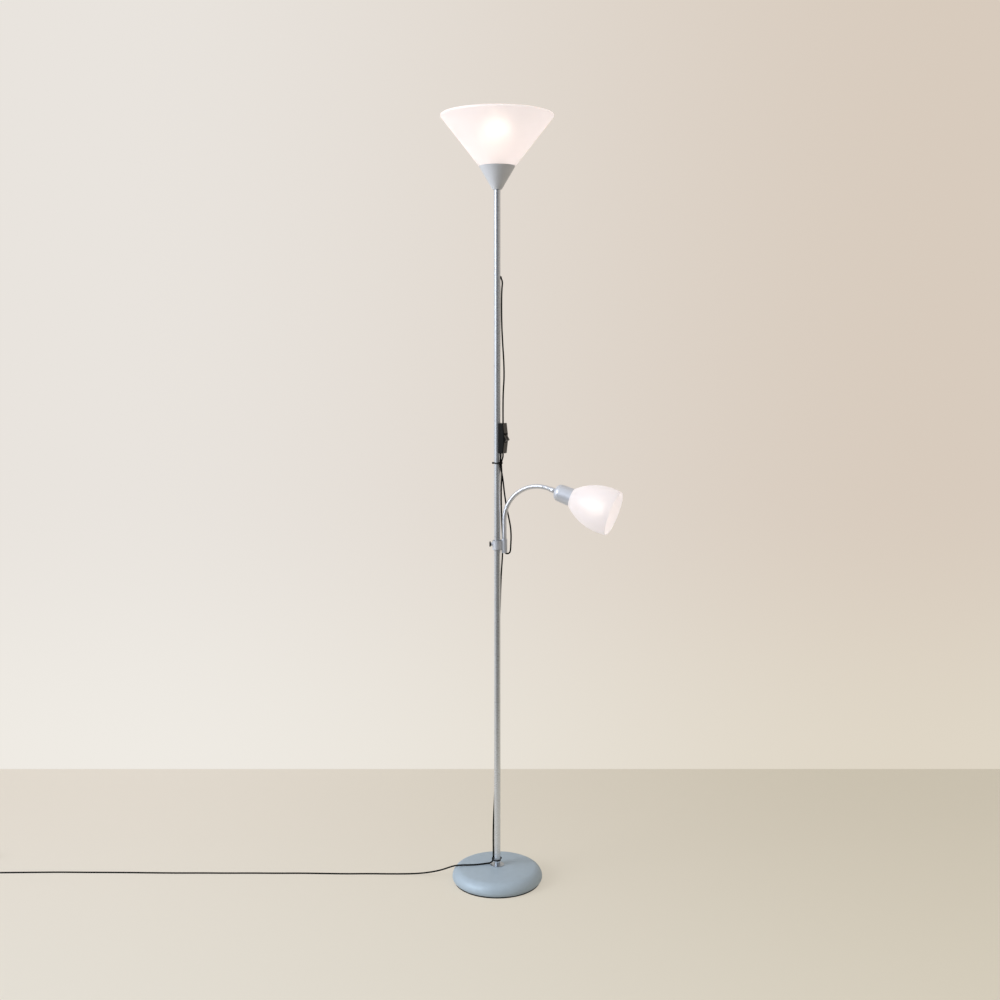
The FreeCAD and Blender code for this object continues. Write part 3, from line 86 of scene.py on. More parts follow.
SUPPLY_CORD: list[Point] = [
    (0.0132, -0.0020, 1.0170),
    (0.0095, -0.0020, 1.0060),
    (0.0096, -0.0009, 0.9960),
    (0.0108, 0.0048, 0.9770),
    (0.0093, 0.0130, 0.9510),
    (0.0092, 0.0206, 0.9150),
    (0.0102, 0.0254, 0.8720),
    (0.0126, 0.0272, 0.8240),
    (0.0124, 0.0266, 0.7840),
    (0.0093, 0.0240, 0.7420),
    (0.0076, 0.0194, 0.7000),
    (0.0062, 0.0142, 0.6550),
    (0.0042, 0.0112, 0.6020),
    (0.0022, 0.0108, 0.5450),
    (0.0013, 0.0112, 0.4880),
    (-0.0006, 0.0108, 0.4300),
    (-0.0012, 0.0113, 0.3720),
    (-0.0026, 0.0109, 0.3140),
    (-0.0042, 0.0102, 0.2560),
    (-0.0064, 0.0084, 0.2020),
    (-0.0088, 0.0056, 0.1560),
    (-0.0098, 0.0026, 0.1140),
    (-0.0096, 0.0014, 0.0820),
    (-0.0095, 0.0010, 0.0660),
    (-0.0097, 0.0011, 0.0575),
    (-0.0097, 0.0014, 0.0509),
    (-0.0114, 0.0018, 0.0465),
    (-0.0145, 0.0023, 0.0431),
    (-0.0187, 0.0025, 0.0410),
    (-0.0276, 0.0016, 0.04025),
    (-0.0460, -0.0026, 0.0394),
    (-0.0640, -0.0024, 0.0382),
    (-0.0820, 0.0006, 0.0370),
    (-0.0980, 0.0044, 0.0344),
    (-0.1120, 0.0074, 0.0295),
    (-0.1310, 0.0118, 0.0206),
    (-0.1560, 0.0180, 0.0120),
    (-0.1860, 0.0244, 0.0054),
    (-0.2220, 0.0286, 0.0022),
    (-0.2640, 0.0294, 0.00185),
    (-0.3120, 0.0308, 0.00185),
    (-0.3660, 0.0296, 0.00185),
    (-0.4220, 0.0318, 0.00185),
    (-0.4800, 0.0336, 0.00185),
    (-0.5380, 0.0330, 0.00185),
    (-0.5960, 0.0342, 0.00185),
    (-0.6540, 0.0336, 0.00185),
    (-0.7120, 0.0346, 0.00185),
    (-0.7700, 0.0342, 0.00185),
    (-0.8280, 0.0352, 0.00185),
    (-0.8860, 0.0368, 0.00185),
    (-0.9440, 0.0378, 0.00185),
    (-1.0020, 0.0382, 0.00185),
    (-1.0600, 0.0394, 0.00185),
    (-1.1180, 0.0384, 0.00185),
    (-1.1760, 0.0372, 0.00185),
    (-1.2220, 0.0359, 0.00185),
]

# Behind the hose it hangs up to 9 mm further back than there, clear of the arm when that sways.
READING_CORD: list[Point] = [
    (0.0082, -0.0128, 1.0170),
    (0.0067, -0.0075, 1.0065),
    (0.0076, -0.0070, 0.9940),
    (0.0109, -0.0024, 0.9790),
    (0.0138, 0.0092, 0.9590),
    (0.0166, 0.0160, 0.9310),
    (0.0212, 0.0172, 0.9010),
    (0.0264, 0.0172, 0.8760),
    (0.0310, 0.0146, 0.8530),
    (0.0324, 0.0106, 0.8320),
    (0.0314, 0.0050, 0.8110),
    (0.0306, 0.0012, 0.7966),
    (0.0265, 0.0006, 0.7920),
    (0.0206, 0.0002, 0.7920),
    (0.0165, 0.0000, 0.7962),
]


# ---------------------------------------------------------------- small tools


def linear(colour: str) -> tuple[float, float, float, float]:
    """Turns an sRGB hex colour to linear RGBA.

    Args:
        colour: six hex digits after a #.

    Returns:
        Red, green, blue and full opacity.
    """
    channels = [int(colour[i : i + 2], 16) / 255 for i in (1, 3, 5)]
    values = [c / 12.92 if c <= 0.04045 else ((c + 0.055) / 1.055) ** 2.4 for c in channels]
    return values[0], values[1], values[2], 1.0


def add_node(
    tree: bpy.types.NodeTree, kind: str, inputs: Inputs | None = None, **settings: object
) -> bpy.types.Node:
    """Adds a node with its settings, values and links.

    Args:
        tree: the tree that it goes into.
        kind: the node's type name.
        inputs: for each socket, by name or number, a value or the output that feeds it.
        settings: the node's own settings.

    Returns:
        The new node.
    """
    node = tree.nodes.new(kind)
    for name, value in settings.items():
        setattr(node, name, value)
    for key, value in (inputs or {}).items():
        if isinstance(value, bpy.types.NodeSocket):
            tree.links.new(value, node.inputs[key])
        else:
            node.inputs[key].default_value = value
    return node


def ranged(value: bpy.types.NodeSocket, span: Span = (0.0, 1.0), levels: Span = (0.0, 1.0)) -> Inputs:
    """Lists the inputs that turn a span of a measure into a span of levels, flat beyond its ends.

    Args:
        value: the measure.
        span: the measure where the level starts and ends.
        levels: the level at those two places.

    Returns:
        The inputs by name.
    """
    return {"Value": value, "From Min": span[0], "From Max": span[1], "To Min": levels[0], "To Max": levels[1]}


def new_object(name: str, mesh: bpy.types.Mesh, finish: "Finishes") -> bpy.types.Object:
    """Makes a mesh into a piece with its finish.

    Args:
        name: the piece's name.
        mesh: its mesh, in the row frame.
        finish: what it is made of.

    Returns:
        The new object, linked to the scene.
    """
    piece = bpy.data.objects.new(name, mesh)
    bpy.context.scene.collection.objects.link(piece)
    mesh.materials.append(finish.material())
    log.info("%s is built in %s", name, finish.value.name)
    return piece


def dress(finish: "Finishes", *nodes: str) -> None:
    """Gives CAD nodes a better material.

    Args:
        finish: what they are made of.
        nodes: the nodes' names.
    """
    for node in nodes:
        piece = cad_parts[node]
        if not piece.material_slots:
            piece.data.materials.append(None)
        for material_slot in piece.material_slots:
            material_slot.material = finish.material()
        log.info("%s is dressed in %s", node, finish.value.name)


def soften_edges(node: str, width: float, segments: int = 3) -> None:
    """Rounds a CAD node's sharp edges, as moulding leaves them.

    Args:
        node: the node's name.
        width: the round's width in metres.
        segments: how many faces make up the round.
    """
    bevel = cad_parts[node].modifiers.new("moulded_edges", "BEVEL")
    bevel.width = width
    bevel.segments = segments
    bevel.limit_method = "ANGLE"
    bevel.angle_limit = SHARP_ANGLE


def sweep(rings: list[list[Vector]], name: str) -> bpy.types.Mesh:
    """Skins a row of rings with quads, and closes it with a face at each end.

    Args:
        rings: rings with the same number of points, in order along the piece.
        name: the mesh's name.

    Returns:
        A mesh whose sides are smooth-shaded.
    """
    shape = bmesh.new()
    rows = [[shape.verts.new(p) for p in ring] for ring in rings]
    count = len(rings[0])
    for first, second in zip(rows, rows[1:]):
        for i in range(count):
            j = (i + 1) % count
            shape.faces.new((first[i], first[j], second[j], second[i]))
    shape.faces.new(list(reversed(rows[0])))
    shape.faces.new(rows[-1])
    bmesh.ops.recalc_face_normals(shape, faces=shape.faces)
    for face in shape.faces:
        face.smooth = len(face.verts) == 4
    mesh = bpy.data.meshes.new(name)
    shape.to_mesh(mesh)
    shape.free()
    return mesh


def round_turns(count: int) -> list[float]:
    """Returns the angles of evenly spaced points round a circle."""
    return [2 * math.pi * i / count for i in range(count)]


def turned_rings(outline: list[Span], place: Matrix) -> list[list[Vector]]:
    """Makes the rings of a piece turned about its own Z axis.

    Args:
        outline: radius and height of each ring.
        place: the piece's own frame.

    Returns:
        The rings in the row frame.
    """
    turns = round_turns(TURNED_SIDES)
    return [[place @ Vector((r * math.cos(t), r * math.sin(t), z)) for t in turns] for r, z in outline]


# ---------------------------------------------------------------- finishes


@dataclass(frozen=True)
class Finish:
    """A surface: its base colour and gloss. Each kind adds its own pattern.

    The default is a plain smooth coat with a faint unevenness of tone.
    """

    name: str
    colour: str
    roughness: float = 0.5
    metallic: float = 0.0
    specular: float = 0.5
    gloss_spread: float = 0.02
    mottle: float = 0.04
    mottle_size: float = 18 * MM
    mottle_span: Span = (0.3, 0.7)
    grain: float = 0.0
    grain_size: float = 1.2 * MM
    grain_depth: float = 0.2

    def material(self) -> bpy.types.Material:
        """Makes the finish's material on first use.

        Returns:
            The material, which every piece with this finish shares.
        """
        made = bpy.data.materials.get(self.name)
        if made is None:
            made = bpy.data.materials.new(self.name)
            made.use_nodes = True
            made.node_tree.nodes.clear()
            surface = self.shader(made.node_tree).outputs[0]
            add_node(made.node_tree, "ShaderNodeOutputMaterial", {"Surface": surface})
        return made

    def place(self, tree: bpy.types.NodeTree) -> bpy.types.NodeSocket:
        """Returns the point in the row frame, in metres, for the patterns."""
        return add_node(tree, "ShaderNodeTexCoord").outputs["Object"]

    def tone(self, tree: bpy.types.NodeTree) -> bpy.types.NodeSocket:
        """Adds the base colour with its faint unevenness.

        Args:
            tree: the material's tree.

        Returns:
            The colour.
        """
        noise = add_node(
            tree,
            "ShaderNodeTexNoise",
            {"Vector": self.place(tree), "Scale": 1 / self.mottle_size, "Detail": 3.0, "Roughness": 0.55},
        )
        light = linear(self.colour)
        dark = tuple(c * (1 - self.mottle * 2) for c in light[:3]) + (1.0,)
        ramp = add_node(tree, "ShaderNodeValToRGB", {"Fac": noise.outputs["Fac"]})
        for stop, position, colour in zip(ramp.color_ramp.elements, self.mottle_span, (dark, light)):
            stop.position = position
            stop.color = colour
        return ramp.outputs["Color"]

    def bump(self, tree: bpy.types.NodeTree) -> bpy.types.NodeSocket:
        """Adds the finish's grain.

        Args:
            tree: the material's tree.

        Returns:
            The surface's direction.
        """
        noise = add_node(
            tree,
            "ShaderNodeTexNoise",
            {"Vector": self.place(tree), "Scale": 1 / self.grain_size, "Detail": 2.0, "Roughness": 0.5},
        )
        depth = self.grain_size * self.grain_depth
        inputs = {"Height": noise.outputs["Fac"], "Strength": self.grain, "Distance": depth}
        return add_node(tree, "ShaderNodeBump", inputs).outputs["Normal"]

    def vary_gloss(self, tree: bpy.types.NodeTree, node: bpy.types.Node, pattern: bpy.types.NodeSocket) -> None:
        """Makes the roughness follow a pattern.

        Args:
            tree: the material's tree.
            node: the surface shader.
            pattern: the pattern, from 0 to 1.
        """
        levels = (self.roughness - self.gloss_spread, self.roughness + self.gloss_spread)
        gloss = add_node(tree, "ShaderNodeMapRange", ranged(pattern, levels=levels))
        tree.links.new(gloss.outputs["Result"], node.inputs["Roughness"])

    def shader(self, tree: bpy.types.NodeTree) -> bpy.types.Node:
        """Adds the surface with its tone, gloss and grain.

        Args:
            tree: the material's tree.

        Returns:
            The surface shader.
        """
        inputs: Inputs = {
            "Base Color": self.tone(tree),
            "Metallic": self.metallic,
            "Roughness": self.roughness,
            "Specular IOR Level": self.specular,
        }
        if self.grain:
            inputs["Normal"] = self.bump(tree)
        return add_node(tree, "ShaderNodeBsdfPrincipled", inputs)


@dataclass(frozen=True)
class MetallicPaint(Finish):
    """Silver powder coat on steel: aluminium flakes in a grey resin, baked to a satin skin.

    The flakes give a soft sheen and a fine sparkle. Real flakes are 0.05 mm and are drawn at 0.9 mm to show.
    """

    flake_size: float = 0.9 * MM

    def shader(self, tree: bpy.types.NodeTree) -> bpy.types.Node:
        """Adds satin paint whose gloss varies from flake to flake.

        Args:
            tree: the material's tree.

        Returns:
            The surface shader.
        """
        grid = {"Vector": self.place(tree), "Scale": 1 / self.flake_size}
        flakes = add_node(tree, "ShaderNodeTexVoronoi", grid, feature="F1")
        node = super().shader(tree)
        self.vary_gloss(tree, node, flakes.outputs["Color"])
        return node


@dataclass(frozen=True)
class RubbedFinish(Finish):
    """A skin whose gloss is uneven where hands and other pieces have rubbed it."""

    rub_size: float = 6 * MM
    rub_detail: float = 4.0

    def shader(self, tree: bpy.types.NodeTree) -> bpy.types.Node:
        """Adds a surface whose gloss drifts from patch to patch.

        Args:
            tree: the material's tree.

        Returns:
            The surface shader.
        """
        patches = {"Vector": self.place(tree), "Scale": 1 / self.rub_size, "Detail": self.rub_detail}
        rub = add_node(tree, "ShaderNodeTexNoise", patches)
        node = super().shader(tree)
        self.vary_gloss(tree, node, rub.outputs["Fac"])
        return node


@dataclass(frozen=True)
class PolishedMetal(RubbedFinish):
    """Bright metal: plated steel wire, plated or bare turned pieces, with fine rubbed streaks."""

    metallic: float = 1.0
    gloss_spread: float = 0.08


@dataclass(frozen=True)
class CordSheath(RubbedFinish):
    """Soft PVC pulled over two cores: dull, with a faint sheen that changes every few centimetres."""

    gloss_spread: float = 0.1
    rub_size: float = 25 * MM
    rub_detail: float = 2.0


@dataclass(frozen=True)
class FrostedAcrylic(Finish):
    """Acrylic frosted by blasting: the bulb behind it shows as a soft spot, and the skin looks like milk glass.
    Its emission is painted light, an even glow that stands in for the bulb's light through the wall.
    """

    mottle: float = 0.01
    grain: float = 0.12
    grain_size: float = 0.9 * MM
    ior: float = 1.49
    clear: float = 0.42
    milk: float = 0.6
    milk_depth: float = 3 * MM
    milk_reach: Point = (1.0, 0.9, 0.8)
    # Painted light: the shade's own emission, standing in for the bulb's light that comes through its wall.
    glow: str = "#FFF7F3"
    painted_glow_strength: float = 0.3

    def shader(self, tree: bpy.types.NodeTree) -> bpy.types.Node:
        """Adds a milky skin that is partly see-through, with a painted glow that stands in for the bulb's light
        through it.

        Args:
            tree: the material's tree.

        Returns:
            The surface shader.
        """
        return add_node(
            tree,
            "ShaderNodeBsdfPrincipled",
            {
                "Base Color": self.tone(tree),
                "Roughness": self.roughness,
                "IOR": self.ior,
                "Normal": self.bump(tree),
                "Transmission Weight": self.clear,
                "Subsurface Weight": self.milk,
                "Subsurface Radius": self.milk_reach,
                "Subsurface Scale": self.milk_depth,
                "Emission Color": linear(self.glow),
                "Emission Strength": self.painted_glow_strength,
            },
        )


@dataclass(frozen=True)
class LitGlass(Finish):
    """Opal bulb glass, lit from inside: brightest at its crown, and dimmer towards its neck."""

    roughness: float = 0.3
    mottle: float = 0.01
    light: str = "#FFF1DC"
    strength: float = 4.0
    crown: Point = (0.0, 0.0, 0.0)
    reach: float = 80 * MM
    neck_share: float = 0.1

    def shader(self, tree: bpy.types.NodeTree) -> bpy.types.Node:
        """Adds opal glass that gives light.

        Args:
            tree: the material's tree.

        Returns:
            The surface shader.
        """
        node = super().shader(tree)
        ends = {0: self.place(tree), 1: self.crown}
        away = add_node(tree, "ShaderNodeVectorMath", ends, operation="DISTANCE").outputs["Value"]
        levels = (self.strength, self.strength * self.neck_share)
        share = add_node(tree, "ShaderNodeMapRange", ranged(away, (0.0, self.reach), levels))
        node.inputs["Emission Color"].default_value = linear(self.light)
        tree.links.new(share.outputs["Result"], node.inputs["Emission Strength"])
        return node


class Finishes(Enum):
    """Every finish on the lamp."""

    # Powder coat with aluminium flake on the steel tube: a bright streak on the window's side, grey elsewhere.
    SILVER_PAINT = MetallicPaint(
        "silver_powder_coat",
        "#D6DBE2",
        roughness=0.28,
        metallic=0.85,
        gloss_spread=0.012,
        mottle=0.02,
        grain=0.006,
    )
    # The same coat with less flake on the pressed cover: a blue-grey satin dome with one broad soft highlight.
    BASE_PAINT = MetallicPaint(
        "blue_silver_powder_coat", "#AFBFCC", metallic=0.12, specular=0.28, mottle=0.03, grain=0.04
    )
    # Satin coat on moulded parts: silver with a soft roll-off at the rounds.
    HEAD_PAINT = MetallicPaint(
        "satin_silver_powder_coat", "#D4D8E1", roughness=0.4, metallic=0.45, mottle=0.02, grain=0.04
    )
    # Pale silver lacquer on the uplight's cup: almost matt, cool white on the window's side.
    CUP_PAINT = MetallicPaint("pale_silver_lacquer", "#F6F9FF", mottle=0.02, grain=0.04)
    # Chromed steel wire wound into a hose: each turn catches a thin bright line.
    HOSE = PolishedMetal("chromed_hose_wire", "#DDE0E8", roughness=0.42, mottle=0.03)
    # Zinc plate on screws, bushes and washers: a greyer, rubbed shine.
    ZINC = PolishedMetal("zinc_plated_steel", "#B4BAC2", roughness=0.36, mottle=0.05)
    # Nickel plate on the bulb caps and plug pins: warm, bright and smooth.
    BRIGHT = PolishedMetal("nickel_plated_brass", "#CFCCC4", roughness=0.28, mottle=0.03)
    # Bare brass of the lampholders' contacts: yellow, with finger-dulled patches.
    BRASS = PolishedMetal("contact_brass", "#C9A45C", roughness=0.3)
    # Sand-cast weight in the base: dark and pitted, with no shine.
    CAST_IRON = Finish(
        "raw_cast_iron", "#3A3A3C", roughness=0.75, metallic=0.6, mottle=0.1, grain=0.6, grain_size=1.5 * MM
    )
    # Moulded rubber under the base and in the cord's hole: a black that swallows light.
    RUBBER = Finish(
        "black_rubber_pad", "#060607", roughness=0.9, specular=0.1, mottle=0.08, grain=0.25, grain_size=1.0 * MM
    )
    # Soft PVC round the cords: a dull black line with hardly a highlight.
    SHEATH = CordSheath(
        "black_pvc_sheath", "#040405", roughness=0.6, specular=0.05, mottle=0.06, grain=0.08, grain_size=2.5 * MM
    )
    # Spark-textured ABS of the switch, plug and knob: black, with a thin light line along each round.
    BLACK_ABS = Finish(
        "black_moulded_abs", "#060607", roughness=0.28, specular=0.25, mottle=0.05, grain=0.08, grain_size=0.8 * MM
    )
    # Nylon of the cable ties: black and waxy.
    BLACK_NYLON = Finish("black_nylon", "#050506", roughness=0.55, specular=0.15, mottle=0.05, grain=0.1)
    # Nylon of the clamp's liner: a plain mid grey.
    GREY_NYLON = Finish("grey_nylon_liner", "#8E9196", grain=0.08)
    # Phenolic resin of the lampholders: warm white with a low shine.
    HOLDER = Finish("white_phenolic_holder", "#E3E0D8", roughness=0.42, mottle=0.03, grain=0.05)
    # Blasted acrylic cone: milky, with the bulb as a soft bright spot, and a painted glow all over that stands in
    # for the bulb's light through it.
    FROSTED = FrostedAcrylic("frosted_acrylic", "#D2CCCD", roughness=0.46, painted_glow_strength=0.41)
    # The small bell's acrylic is the same, with its own painted glow, and stands nearer to its bulb.
    FROSTED_BELL = FrostedAcrylic("frosted_acrylic_bell", "#CAC7CA", roughness=0.42, painted_glow_strength=0.33)
    # Opal glass of the uplight's bulb, lit: a warm white core through the cone.
    UPLIGHT_BULB = LitGlass(
        "lit_opal_glass", "#FBF7EE", strength=15.0, crown=(0.0, 0.0, 1.775), reach=62 * MM
    )
    # Opal glass of the small bulb, lit: an even glow that fills the bell.
    READING_BULB = LitGlass(
        "lit_small_opal_glass", "#FBF7EE", strength=4.5, crown=(0.236, -0.082, 0.904), reach=42 * MM
    )

    def material(self) -> bpy.types.Material:
        """Returns this finish's material."""
        return self.value.material()


# ---------------------------------------------------------------- camera, lights and room


@dataclass(frozen=True)
class Backdrop:
    """A painted surface of the room: its tones at the four corners of the view, with the window's light and shade
    painted into them, and how much it glows by itself.

    Its stretch in front of the lamp gives the lamp only a share of its light. The camera sees it in full.
    """

    name: str
    low_tones_with_shade: tuple[str, str]
    high_tones_with_shade: tuple[str, str]
    across: Span
    rise_axis: str
    rise: Span
    own_light: float
    bounce: float = 0.6
    front: Span = (-1.5, -0.3)
    front_share: float = 1.0
    one_sided: bool = False

    def share(self, tree: bpy.types.NodeTree, axis: str, span: Span) -> bpy.types.NodeSocket:
        """Adds a measure of how far a point lies along an axis.

        Args:
            tree: the material's tree.
            axis: X, Y or Z.
            span: the places where the measure starts and ends.

        Returns:
            The measure, from 0 to 1.
        """
        place = add_node(tree, "ShaderNodeTexCoord").outputs["Object"]
        level = add_node(tree, "ShaderNodeSeparateXYZ", {"Vector": place}).outputs[axis]
        node = add_node(tree, "ShaderNodeMapRange", ranged(level, span), interpolation_type="SMOOTHSTEP")
        return node.outputs["Result"]

    def tone(self, tree: bpy.types.NodeTree) -> bpy.types.NodeSocket:
        """Adds the paint's tone, which drifts between the four corners as the window's light leaves it.

        Args:
            tree: the material's tree.

        Returns:
            The colour.
        """
        across = self.share(tree, "X", self.across)
        rise = self.share(tree, self.rise_axis, self.rise)
        rows = []
        for left, right in (self.low_tones_with_shade, self.high_tones_with_shade):
            ends = {"Factor": across, FIRST_COLOUR: linear(left), SECOND_COLOUR: linear(right)}
            rows.append(add_node(tree, "ShaderNodeMix", ends, data_type="RGBA").outputs[MIXED_COLOUR])
        ends = {"Factor": rise, FIRST_COLOUR: rows[0], SECOND_COLOUR: rows[1]}
        return add_node(tree, "ShaderNodeMix", ends, data_type="RGBA").outputs[MIXED_COLOUR]

    def material(self) -> bpy.types.Material:
        """Makes matt wall paint that shows its tone, painted light and shade included, to the camera and takes the
        lamp's shadow.

        Returns:
            The material.
        """
        made = bpy.data.materials.new(self.name)
        made.use_nodes = True
        tree = made.node_tree
        tree.nodes.clear()
        ray = add_node(tree, "ShaderNodeLightPath")
        seen = ray.outputs["Is Camera Ray"]
        front = self.share(tree, "Y", self.front)
        levels = (self.front_share, 1.0)
        lit = add_node(tree, "ShaderNodeMapRange", ranged(front, levels=levels)).outputs["Result"]
        lit = add_node(tree, "ShaderNodeMath", {0: lit, 1: seen}, operation="MAXIMUM").outputs[0]
        scaled = {0: self.tone(tree), "Scale": lit}
        colour = add_node(tree, "ShaderNodeVectorMath", scaled, operation="SCALE").outputs[0]
        dimmed = add_node(tree, "ShaderNodeVectorMath", {0: colour, "Scale": self.bounce}, operation="SCALE")
        paint = add_node(tree, "ShaderNodeBsdfDiffuse", {"Color": dimmed.outputs[0]})
        makes_up = (1 - self.bounce * (1 - self.own_light)) / self.own_light
        shown = add_node(tree, "ShaderNodeEmission", {"Color": colour, "Strength": makes_up})
        for kind in ("Is Glossy Ray", "Is Transmission Ray"):
            rays = {0: seen, 1: ray.outputs[kind]}
            seen = add_node(tree, "ShaderNodeMath", rays, operation="MAXIMUM").outputs[0]
        share = add_node(tree, "ShaderNodeMath", {0: seen, 1: self.own_light}, operation="MULTIPLY").outputs[0]
        surface = add_node(tree, "ShaderNodeMixShader", {0: share, 1: paint.outputs[0], 2: shown.outputs[0]})
        if self.one_sided:
            back = add_node(tree, "ShaderNodeNewGeometry").outputs["Backfacing"]
            clear = add_node(tree, "ShaderNodeBsdfTransparent").outputs[0]
            surface = add_node(tree, "ShaderNodeMixShader", {0: back, 1: surface.outputs[0], 2: clear})
        add_node(tree, "ShaderNodeOutputMaterial", {"Surface": surface.outputs[0]})
        return made


# Painted light and shade: the corner tones run lighter on the window's side at the left, and darker and warmer to
# the right.
WALL = Backdrop(
    "wall_paint",
    low_tones_with_shade=("#EFEBE4", "#DFD6C6"),
    high_tones_with_shade=("#E9E4DE", "#D8CBBD"),
    across=(-1.2, 1.4),
    rise_axis="Z",
    rise=(0.0, 0.9),
    own_light=1.0,
    one_sided=True,
)
# Painted shade: to everything but the camera, the floor's strip in front of the lamp shows only a quarter of its
# tone, as the unlit front of the room.
FLOOR = Backdrop(
    "floor_paint",
    low_tones_with_shade=("#EDE9DF", "#DED6C4"),
    high_tones_with_shade=("#EAE2D6", "#D3CAB8"),
    across=(-1.3, 1.3),
    rise_axis="Y",
    rise=(-1.2, 0.8),
    own_light=0.5,
    bounce=0.7,
    front_share=0.25,
)


@dataclass
class Studio:
    """The room, its light and the camera at the photograph's place.

    The light's tones, spans and levels go by the direction that it comes from, as a unit vector.
    """

    camera_x: float = 0.0064
    camera_distance: float = 2.832
    camera_height: float = 1.2629
    camera_pitch: float = 0.1214
    focal_pixels: float = 1236.1
    wall_y: float = 0.788
    room_width: float = 14.0
    far_colour: str = "#E4DED5"
    left_tone: str = "#F4F7FC"
    right_tone: str = "#A7A39D"
    tone_span: Span = (-0.7, 0.5)
    depth_span: Span = (-0.95, -0.35)
    depth_levels: Span = (0.3, 0.95)
    ceiling_span: Span = (0.35, 0.85)
    ceiling_levels: Span = (0.3, 1.4)
    window_way: Point = (-0.94, -0.34, 0.0)
    window_span: Span = (0.78, 0.9)
    window_level: float = 0.5

    def build_camera(self) -> None:
        """Places the camera as the photograph's perspective gives it."""
        data = bpy.data.cameras.new("camera")
        data.sensor_width = SENSOR_WIDTH
        data.lens = SENSOR_WIDTH * self.focal_pixels / PHOTO_PIXELS
        camera = bpy.data.objects.new("camera", data)
        camera.location = (self.camera_x, -self.camera_distance, self.camera_height)
        camera.rotation_euler = (math.pi / 2 - self.camera_pitch, 0.0, 0.0)
        bpy.context.scene.collection.objects.link(camera)
        bpy.context.scene.camera = camera

    def build_plane(self, name: str, corners: list[Point], backdrop: Backdrop) -> None:
        """Adds a flat sheet of the room.

        Args:
            name: the sheet's name.
            corners: its four corners.
            backdrop: its paint.
        """
        mesh = bpy.data.meshes.new(name)
        mesh.from_pydata(corners, [], [(0, 1, 2, 3)])
        mesh.materials.append(backdrop.material())
        sheet = bpy.data.objects.new(name, mesh)
        bpy.context.scene.collection.objects.link(sheet)

    def build_room(self) -> None:
        """Adds the floor and the wall behind the lamp, which is open to the eye from its back."""
        half, wall = self.room_width / 2, self.wall_y
        ground = [(-half, -half, 0), (half, -half, 0), (half, half, 0), (-half, half, 0)]
        upright = [(-half, wall, 0), (half, wall, 0), (half, wall, half), (-half, wall, half)]
        self.build_plane("floor", ground, FLOOR)
        self.build_plane("wall", upright, WALL)

    def build_sun(self, name: str, source: Point, power: float, spread: float, colour: str) -> None:
        """Adds a distant soft light.

        Args:
            name: the light's name.
            source: the direction that it comes from.
            power: its power in watts per square metre.
            spread: its apparent width in degrees.
            colour: its colour.
        """
        data = bpy.data.lights.new(name, "SUN")
        data.energy = power
        data.color = linear(colour)[:3]
        data.angle = math.radians(spread)
        light = bpy.data.objects.new(name, data)
        light.rotation_euler = Vector(source).to_track_quat("Z", "Y").to_euler()
        bpy.context.scene.collection.objects.link(light)

    def build_world(self) -> None:
        """Surrounds the lamp with a pale room: a window at the left, a light ceiling and a dim front."""
        world = bpy.data.worlds.new("room_light")
        world.use_nodes = True
        tree = world.node_tree
        tree.nodes.clear()
        way = add_node(tree, "ShaderNodeTexCoord").outputs["Generated"]
        parts = add_node(tree, "ShaderNodeSeparateXYZ", {"Vector": way}).outputs
        ways = {0: way, 1: self.window_way}
        facing = add_node(tree, "ShaderNodeVectorMath", ways, operation="DOT_PRODUCT").outputs["Value"]
        side, depth, ceiling, window = (
            add_node(tree, "ShaderNodeMapRange", ranged(*part)).outputs["Result"]
            for part in (
                (parts["X"], self.tone_span),
                (parts["Y"], self.depth_span, self.depth_levels),
                (parts["Z"], self.ceiling_span, self.ceiling_levels),
                (facing, self.window_span, (0.0, self.window_level)),
            )
        )
        tones = {"Factor": side, FIRST_COLOUR: linear(self.left_tone), SECOND_COLOUR: linear(self.right_tone)}
        colour = add_node(tree, "ShaderNodeMix", tones, data_type="RGBA").outputs[MIXED_COLOUR]
        level = add_node(tree, "ShaderNodeMath", {0: depth, 1: ceiling}, operation="MAXIMUM").outputs[0]
        level = add_node(tree, "ShaderNodeMath", {0: level, 1: window}, operation="ADD").outputs[0]
        sky = add_node(tree, "ShaderNodeBackground", {"Color": colour, "Strength": level})
        pale = add_node(tree, "ShaderNodeBackground", {"Color": linear(self.far_colour), "Strength": 1.0})
        ray = add_node(tree, "ShaderNodeLightPath").outputs["Is Camera Ray"]
        shown = add_node(tree, "ShaderNodeMixShader", {0: ray, 1: sky.outputs[0], 2: pale.outputs[0]})
        add_node(tree, "ShaderNodeOutputWorld", {"Surface": shown.outputs[0]})
        bpy.context.scene.world = world

    def build(self) -> None:
        """Builds the camera, the room and its light: a large soft window at the front left, and a weak fill."""
        self.build_camera()
        self.build_room()
        self.build_world()
        self.build_sun("window_left", source=(-0.80, -0.42, 0.40), power=1.7, spread=30.0, colour="#F3F8FF")
        self.build_sun("fill_right", source=(0.78, -0.38, 0.5), power=0.36, spread=50.0, colour="#FFF4E6")
        bpy.context.scene.view_settings.view_transform = "Standard"
        log.info("studio ready")


# ---------------------------------------------------------------- cords


def nurbs_curve(name: str, points: list[Point], radius: float = 0.0) -> bpy.types.Object:
    """Makes a smooth curve with the route's points as its control points.

    Args:
        name: the curve's name.
        points: the route.
        radius: the cord's radius, or 0 for a bare line.

    Returns:
        The curve, not yet in the scene.
    """
    data = bpy.data.curves.new(name, "CURVE")
    data.dimensions = "3D"
    data.resolution_u = 10
    data.bevel_depth = radius
    data.bevel_resolution = 4
    data.use_fill_caps = True
    spline = data.splines.new("NURBS")
    spline.points.add(len(points) - 1)
    for place, point in zip(points, spline.points):
        point.co = (*place, 1.0)
    spline.order_u = 3
    spline.use_endpoint_u = True
    return bpy.data.objects.new(name, data)


